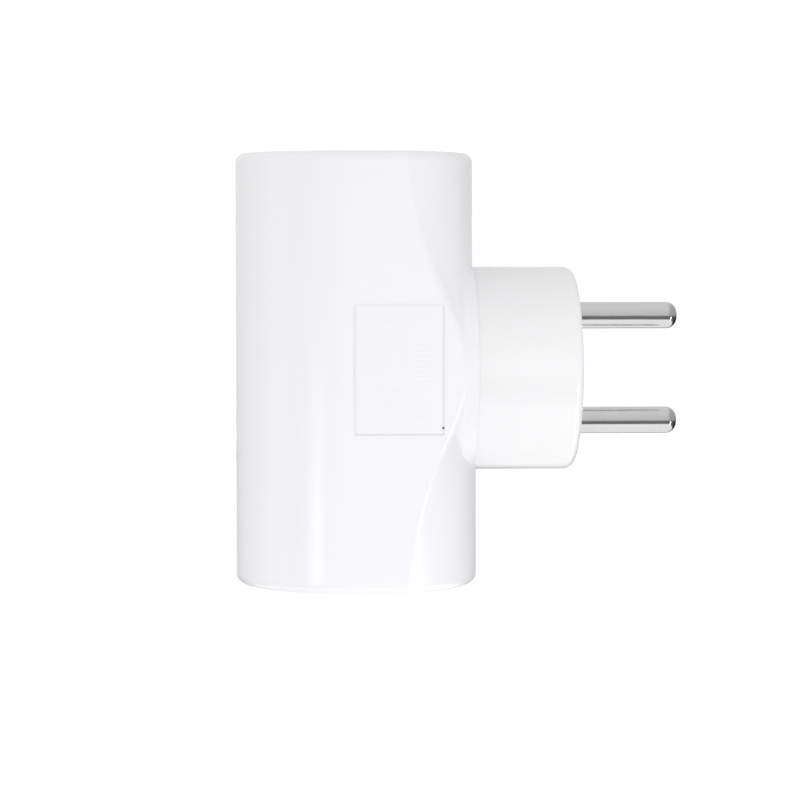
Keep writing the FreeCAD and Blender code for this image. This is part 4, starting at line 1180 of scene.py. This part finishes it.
@dataclass
class Studio:
    """Pale floor, soft light and the camera.

    Each level is a share of the way from straight down to straight up and the brightness there. Each fade is where
    the light starts to fall, where it stops falling, and the share that is left.
    """

    aim: Colour = (-10.2e-3, 0.0, -5.76e-3)
    body_from_centre: Colour = (-18e-3, 0, 0)
    distance: float = 0.5
    azimuth: float = -3.8
    elevation: float = 3.2
    lens: float = 124.65
    sensor: float = 36.0
    floor_drop: float = 120e-3
    floor_radius: float = 0.22
    floor_glow: float = 0.40
    seen_white: float = 1.05
    levels: tuple[tuple[float, float], ...] = ((0.0, 0.75), (0.16, 0.75), (0.24, 0.20), (0.40, 0.20), (0.50, 0.80),
                                               (1.0, 0.95))
    front_fade: Colour = (-0.35, -0.80, 0.92)
    wall_fade: Colour = (0.25, 0.70, 0.64)
    patch_fade: Colour = (0.82, 0.96, 0.15)
    patch_way: Colour = (0.67, 0.58, -0.47)

    def build(self) -> None:
        """Make the world, floor, lamps and camera."""
        low, high = (np.array(c) for c in cad_box)
        centre = (low + high) / 2
        self.hang_world()
        self.lay_floor(centre, low[2] - self.floor_drop)
        for lamp in LAMPS:
            lamp.hang(centre if lamp.at_plug else centre + np.array(self.body_from_centre))
        self.set_camera(centre)
        settings = bpy.context.scene.view_settings
        settings.view_transform = "Standard"
        settings.look = "None"

    def hang_world(self) -> None:
        """Plain white for the eye; for light, a pale sky, a dim band below eye level and dimmer sides."""
        world = bpy.data.worlds.new("studio_white")
        bpy.context.scene.world = world
        world.use_nodes = True
        nodes = Nodes(world.node_tree)
        way = nodes.place.outputs["Generated"]
        split = nodes.node("ShaderNodeSeparateXYZ")
        nodes.join(way, split.inputs[0])
        ramp = nodes.node("ShaderNodeValToRGB")
        nodes.join(nodes.spread(split.outputs["Z"], 0.0, 1.0, -1.0, 1.0), ramp.inputs["Fac"])
        while len(ramp.color_ramp.elements) < len(self.levels):
            ramp.color_ramp.elements.new(0.5)
        for element, (share, level) in zip(ramp.color_ramp.elements, self.levels):
            element.position = share
            element.color = (level, level, level, 1)
        along = nodes.node("ShaderNodeVectorMath", operation="DOT_PRODUCT")
        nodes.join(way, along.inputs[0])
        along.inputs[1].default_value = self.patch_way
        strength = self.faded(nodes, split.outputs["X"], self.front_fade)
        strength = nodes.maths("MULTIPLY", strength, self.faded(nodes, along.outputs["Value"], self.patch_fade))
        strength = nodes.maths("MULTIPLY", strength, self.faded(nodes, split.outputs["X"], self.wall_fade))
        light = nodes.node("ShaderNodeBackground")
        nodes.join(ramp.outputs["Color"], light.inputs["Color"])
        nodes.join(strength, light.inputs["Strength"])
        seen = nodes.node("ShaderNodeBackground")
        seen.inputs["Color"].default_value = (1, 1, 1, 1)
        seen.inputs["Strength"].default_value = self.seen_white
        mix = nodes.node("ShaderNodeMixShader")
        nodes.join(nodes.node("ShaderNodeLightPath").outputs["Is Camera Ray"], mix.inputs[0])
        nodes.join(light.outputs[0], mix.inputs[1])
        nodes.join(seen.outputs[0], mix.inputs[2])
        nodes.join(mix.outputs[0], nodes.node("ShaderNodeOutputWorld").inputs[0])

    def faded(self, nodes: Nodes, value: bpy.types.NodeSocket, fade: Colour) -> bpy.types.NodeSocket:
        """Full strength up to the fade's start, falling evenly to its last value at its end."""
        return nodes.spread(value, 1.0, fade[2], fade[0], fade[1])

    def lay_floor(self, centre: Points, level: float) -> None:
        """Round pale table below the adapter, lit a little from within."""
        ring = np.array([[0.0], [self.floor_radius]])
        angle = turns(96)
        grid = np.stack([centre[0] + ring * np.cos(angle), centre[1] + ring * np.sin(angle),
                         level + 0 * ring * angle], axis=-1)
        bench = Bench("pale_floor")
        bench.shader.inputs["Base Color"].default_value = (0.85, 0.85, 0.85, 1)
        bench.shader.inputs["Roughness"].default_value = 0.9
        bench.shader.inputs["Emission Color"].default_value = (1, 1, 1, 1)
        bench.shader.inputs["Emission Strength"].default_value = self.floor_glow
        mesh = weld_mesh("pale_floor", [Surface(grid, columns_close=True)], [bench.material])
        floor = bpy.data.objects.new("pale_floor", mesh)
        bpy.context.scene.collection.objects.link(floor)

    def set_camera(self, centre: Points) -> None:
        """Camera on a ball round the aiming point, looking at it, upright."""
        turn, lift = math.radians(self.azimuth), math.radians(self.elevation)
        aim = centre + np.array(self.aim)
        level = math.cos(lift)
        away = self.distance * np.array([math.sin(turn) * level, -math.cos(turn) * level, math.sin(lift)])
        data = bpy.data.cameras.new("camera")
        data.lens = self.lens
        data.sensor_width = self.sensor
        data.clip_start = 0.01
        camera = bpy.data.objects.new("camera", data)
        camera.location = aim + away
        camera.rotation_euler = (math.pi / 2 - lift, 0, turn)
        bpy.context.scene.collection.objects.link(camera)
        bpy.context.scene.camera = camera


def main() -> None:
    """Build the adapter's looks, outside first."""
    logging.basicConfig(level=logging.INFO, format="%(message)s")
    paint = Paintbox()
    LOG.info("dressed %d CAD nodes", paint.dress_nodes())
    steps = [
        RatingLabel(), MainsPin("upper_pin"), MainsPin("lower_pin"), PairButton(), JackContacts(),
        BoardScrews("main_board_screws", -1), BoardScrews("power_board_screws", 1), LineChoke(), CouplingCoil(),
        CanCapacitor("bulk_capacitor", 1.95e-3), CanCapacitor("output_capacitor", 1.5e-3, 0.25e-3),
        LeggedChip("memory_chip", 4, 1), LeggedChip("power_switch_chip", 4, -1, ("+y", "-y")),
        LeggedChip("optical_coupler", 2, -1), LeggedChip("bridge_rectifier", 2, -1),
        LeggedChip("powerline_chip", 22, 1, ("+z", "-z", "+y", "-y"), 0.26e-3), PowerTransformer(),
    ]
    for step in steps:
        step.build(paint)
        LOG.info("built %s", step)
    Studio().build()
    LOG.info("studio set")


if __name__ == "__main__":
    main()
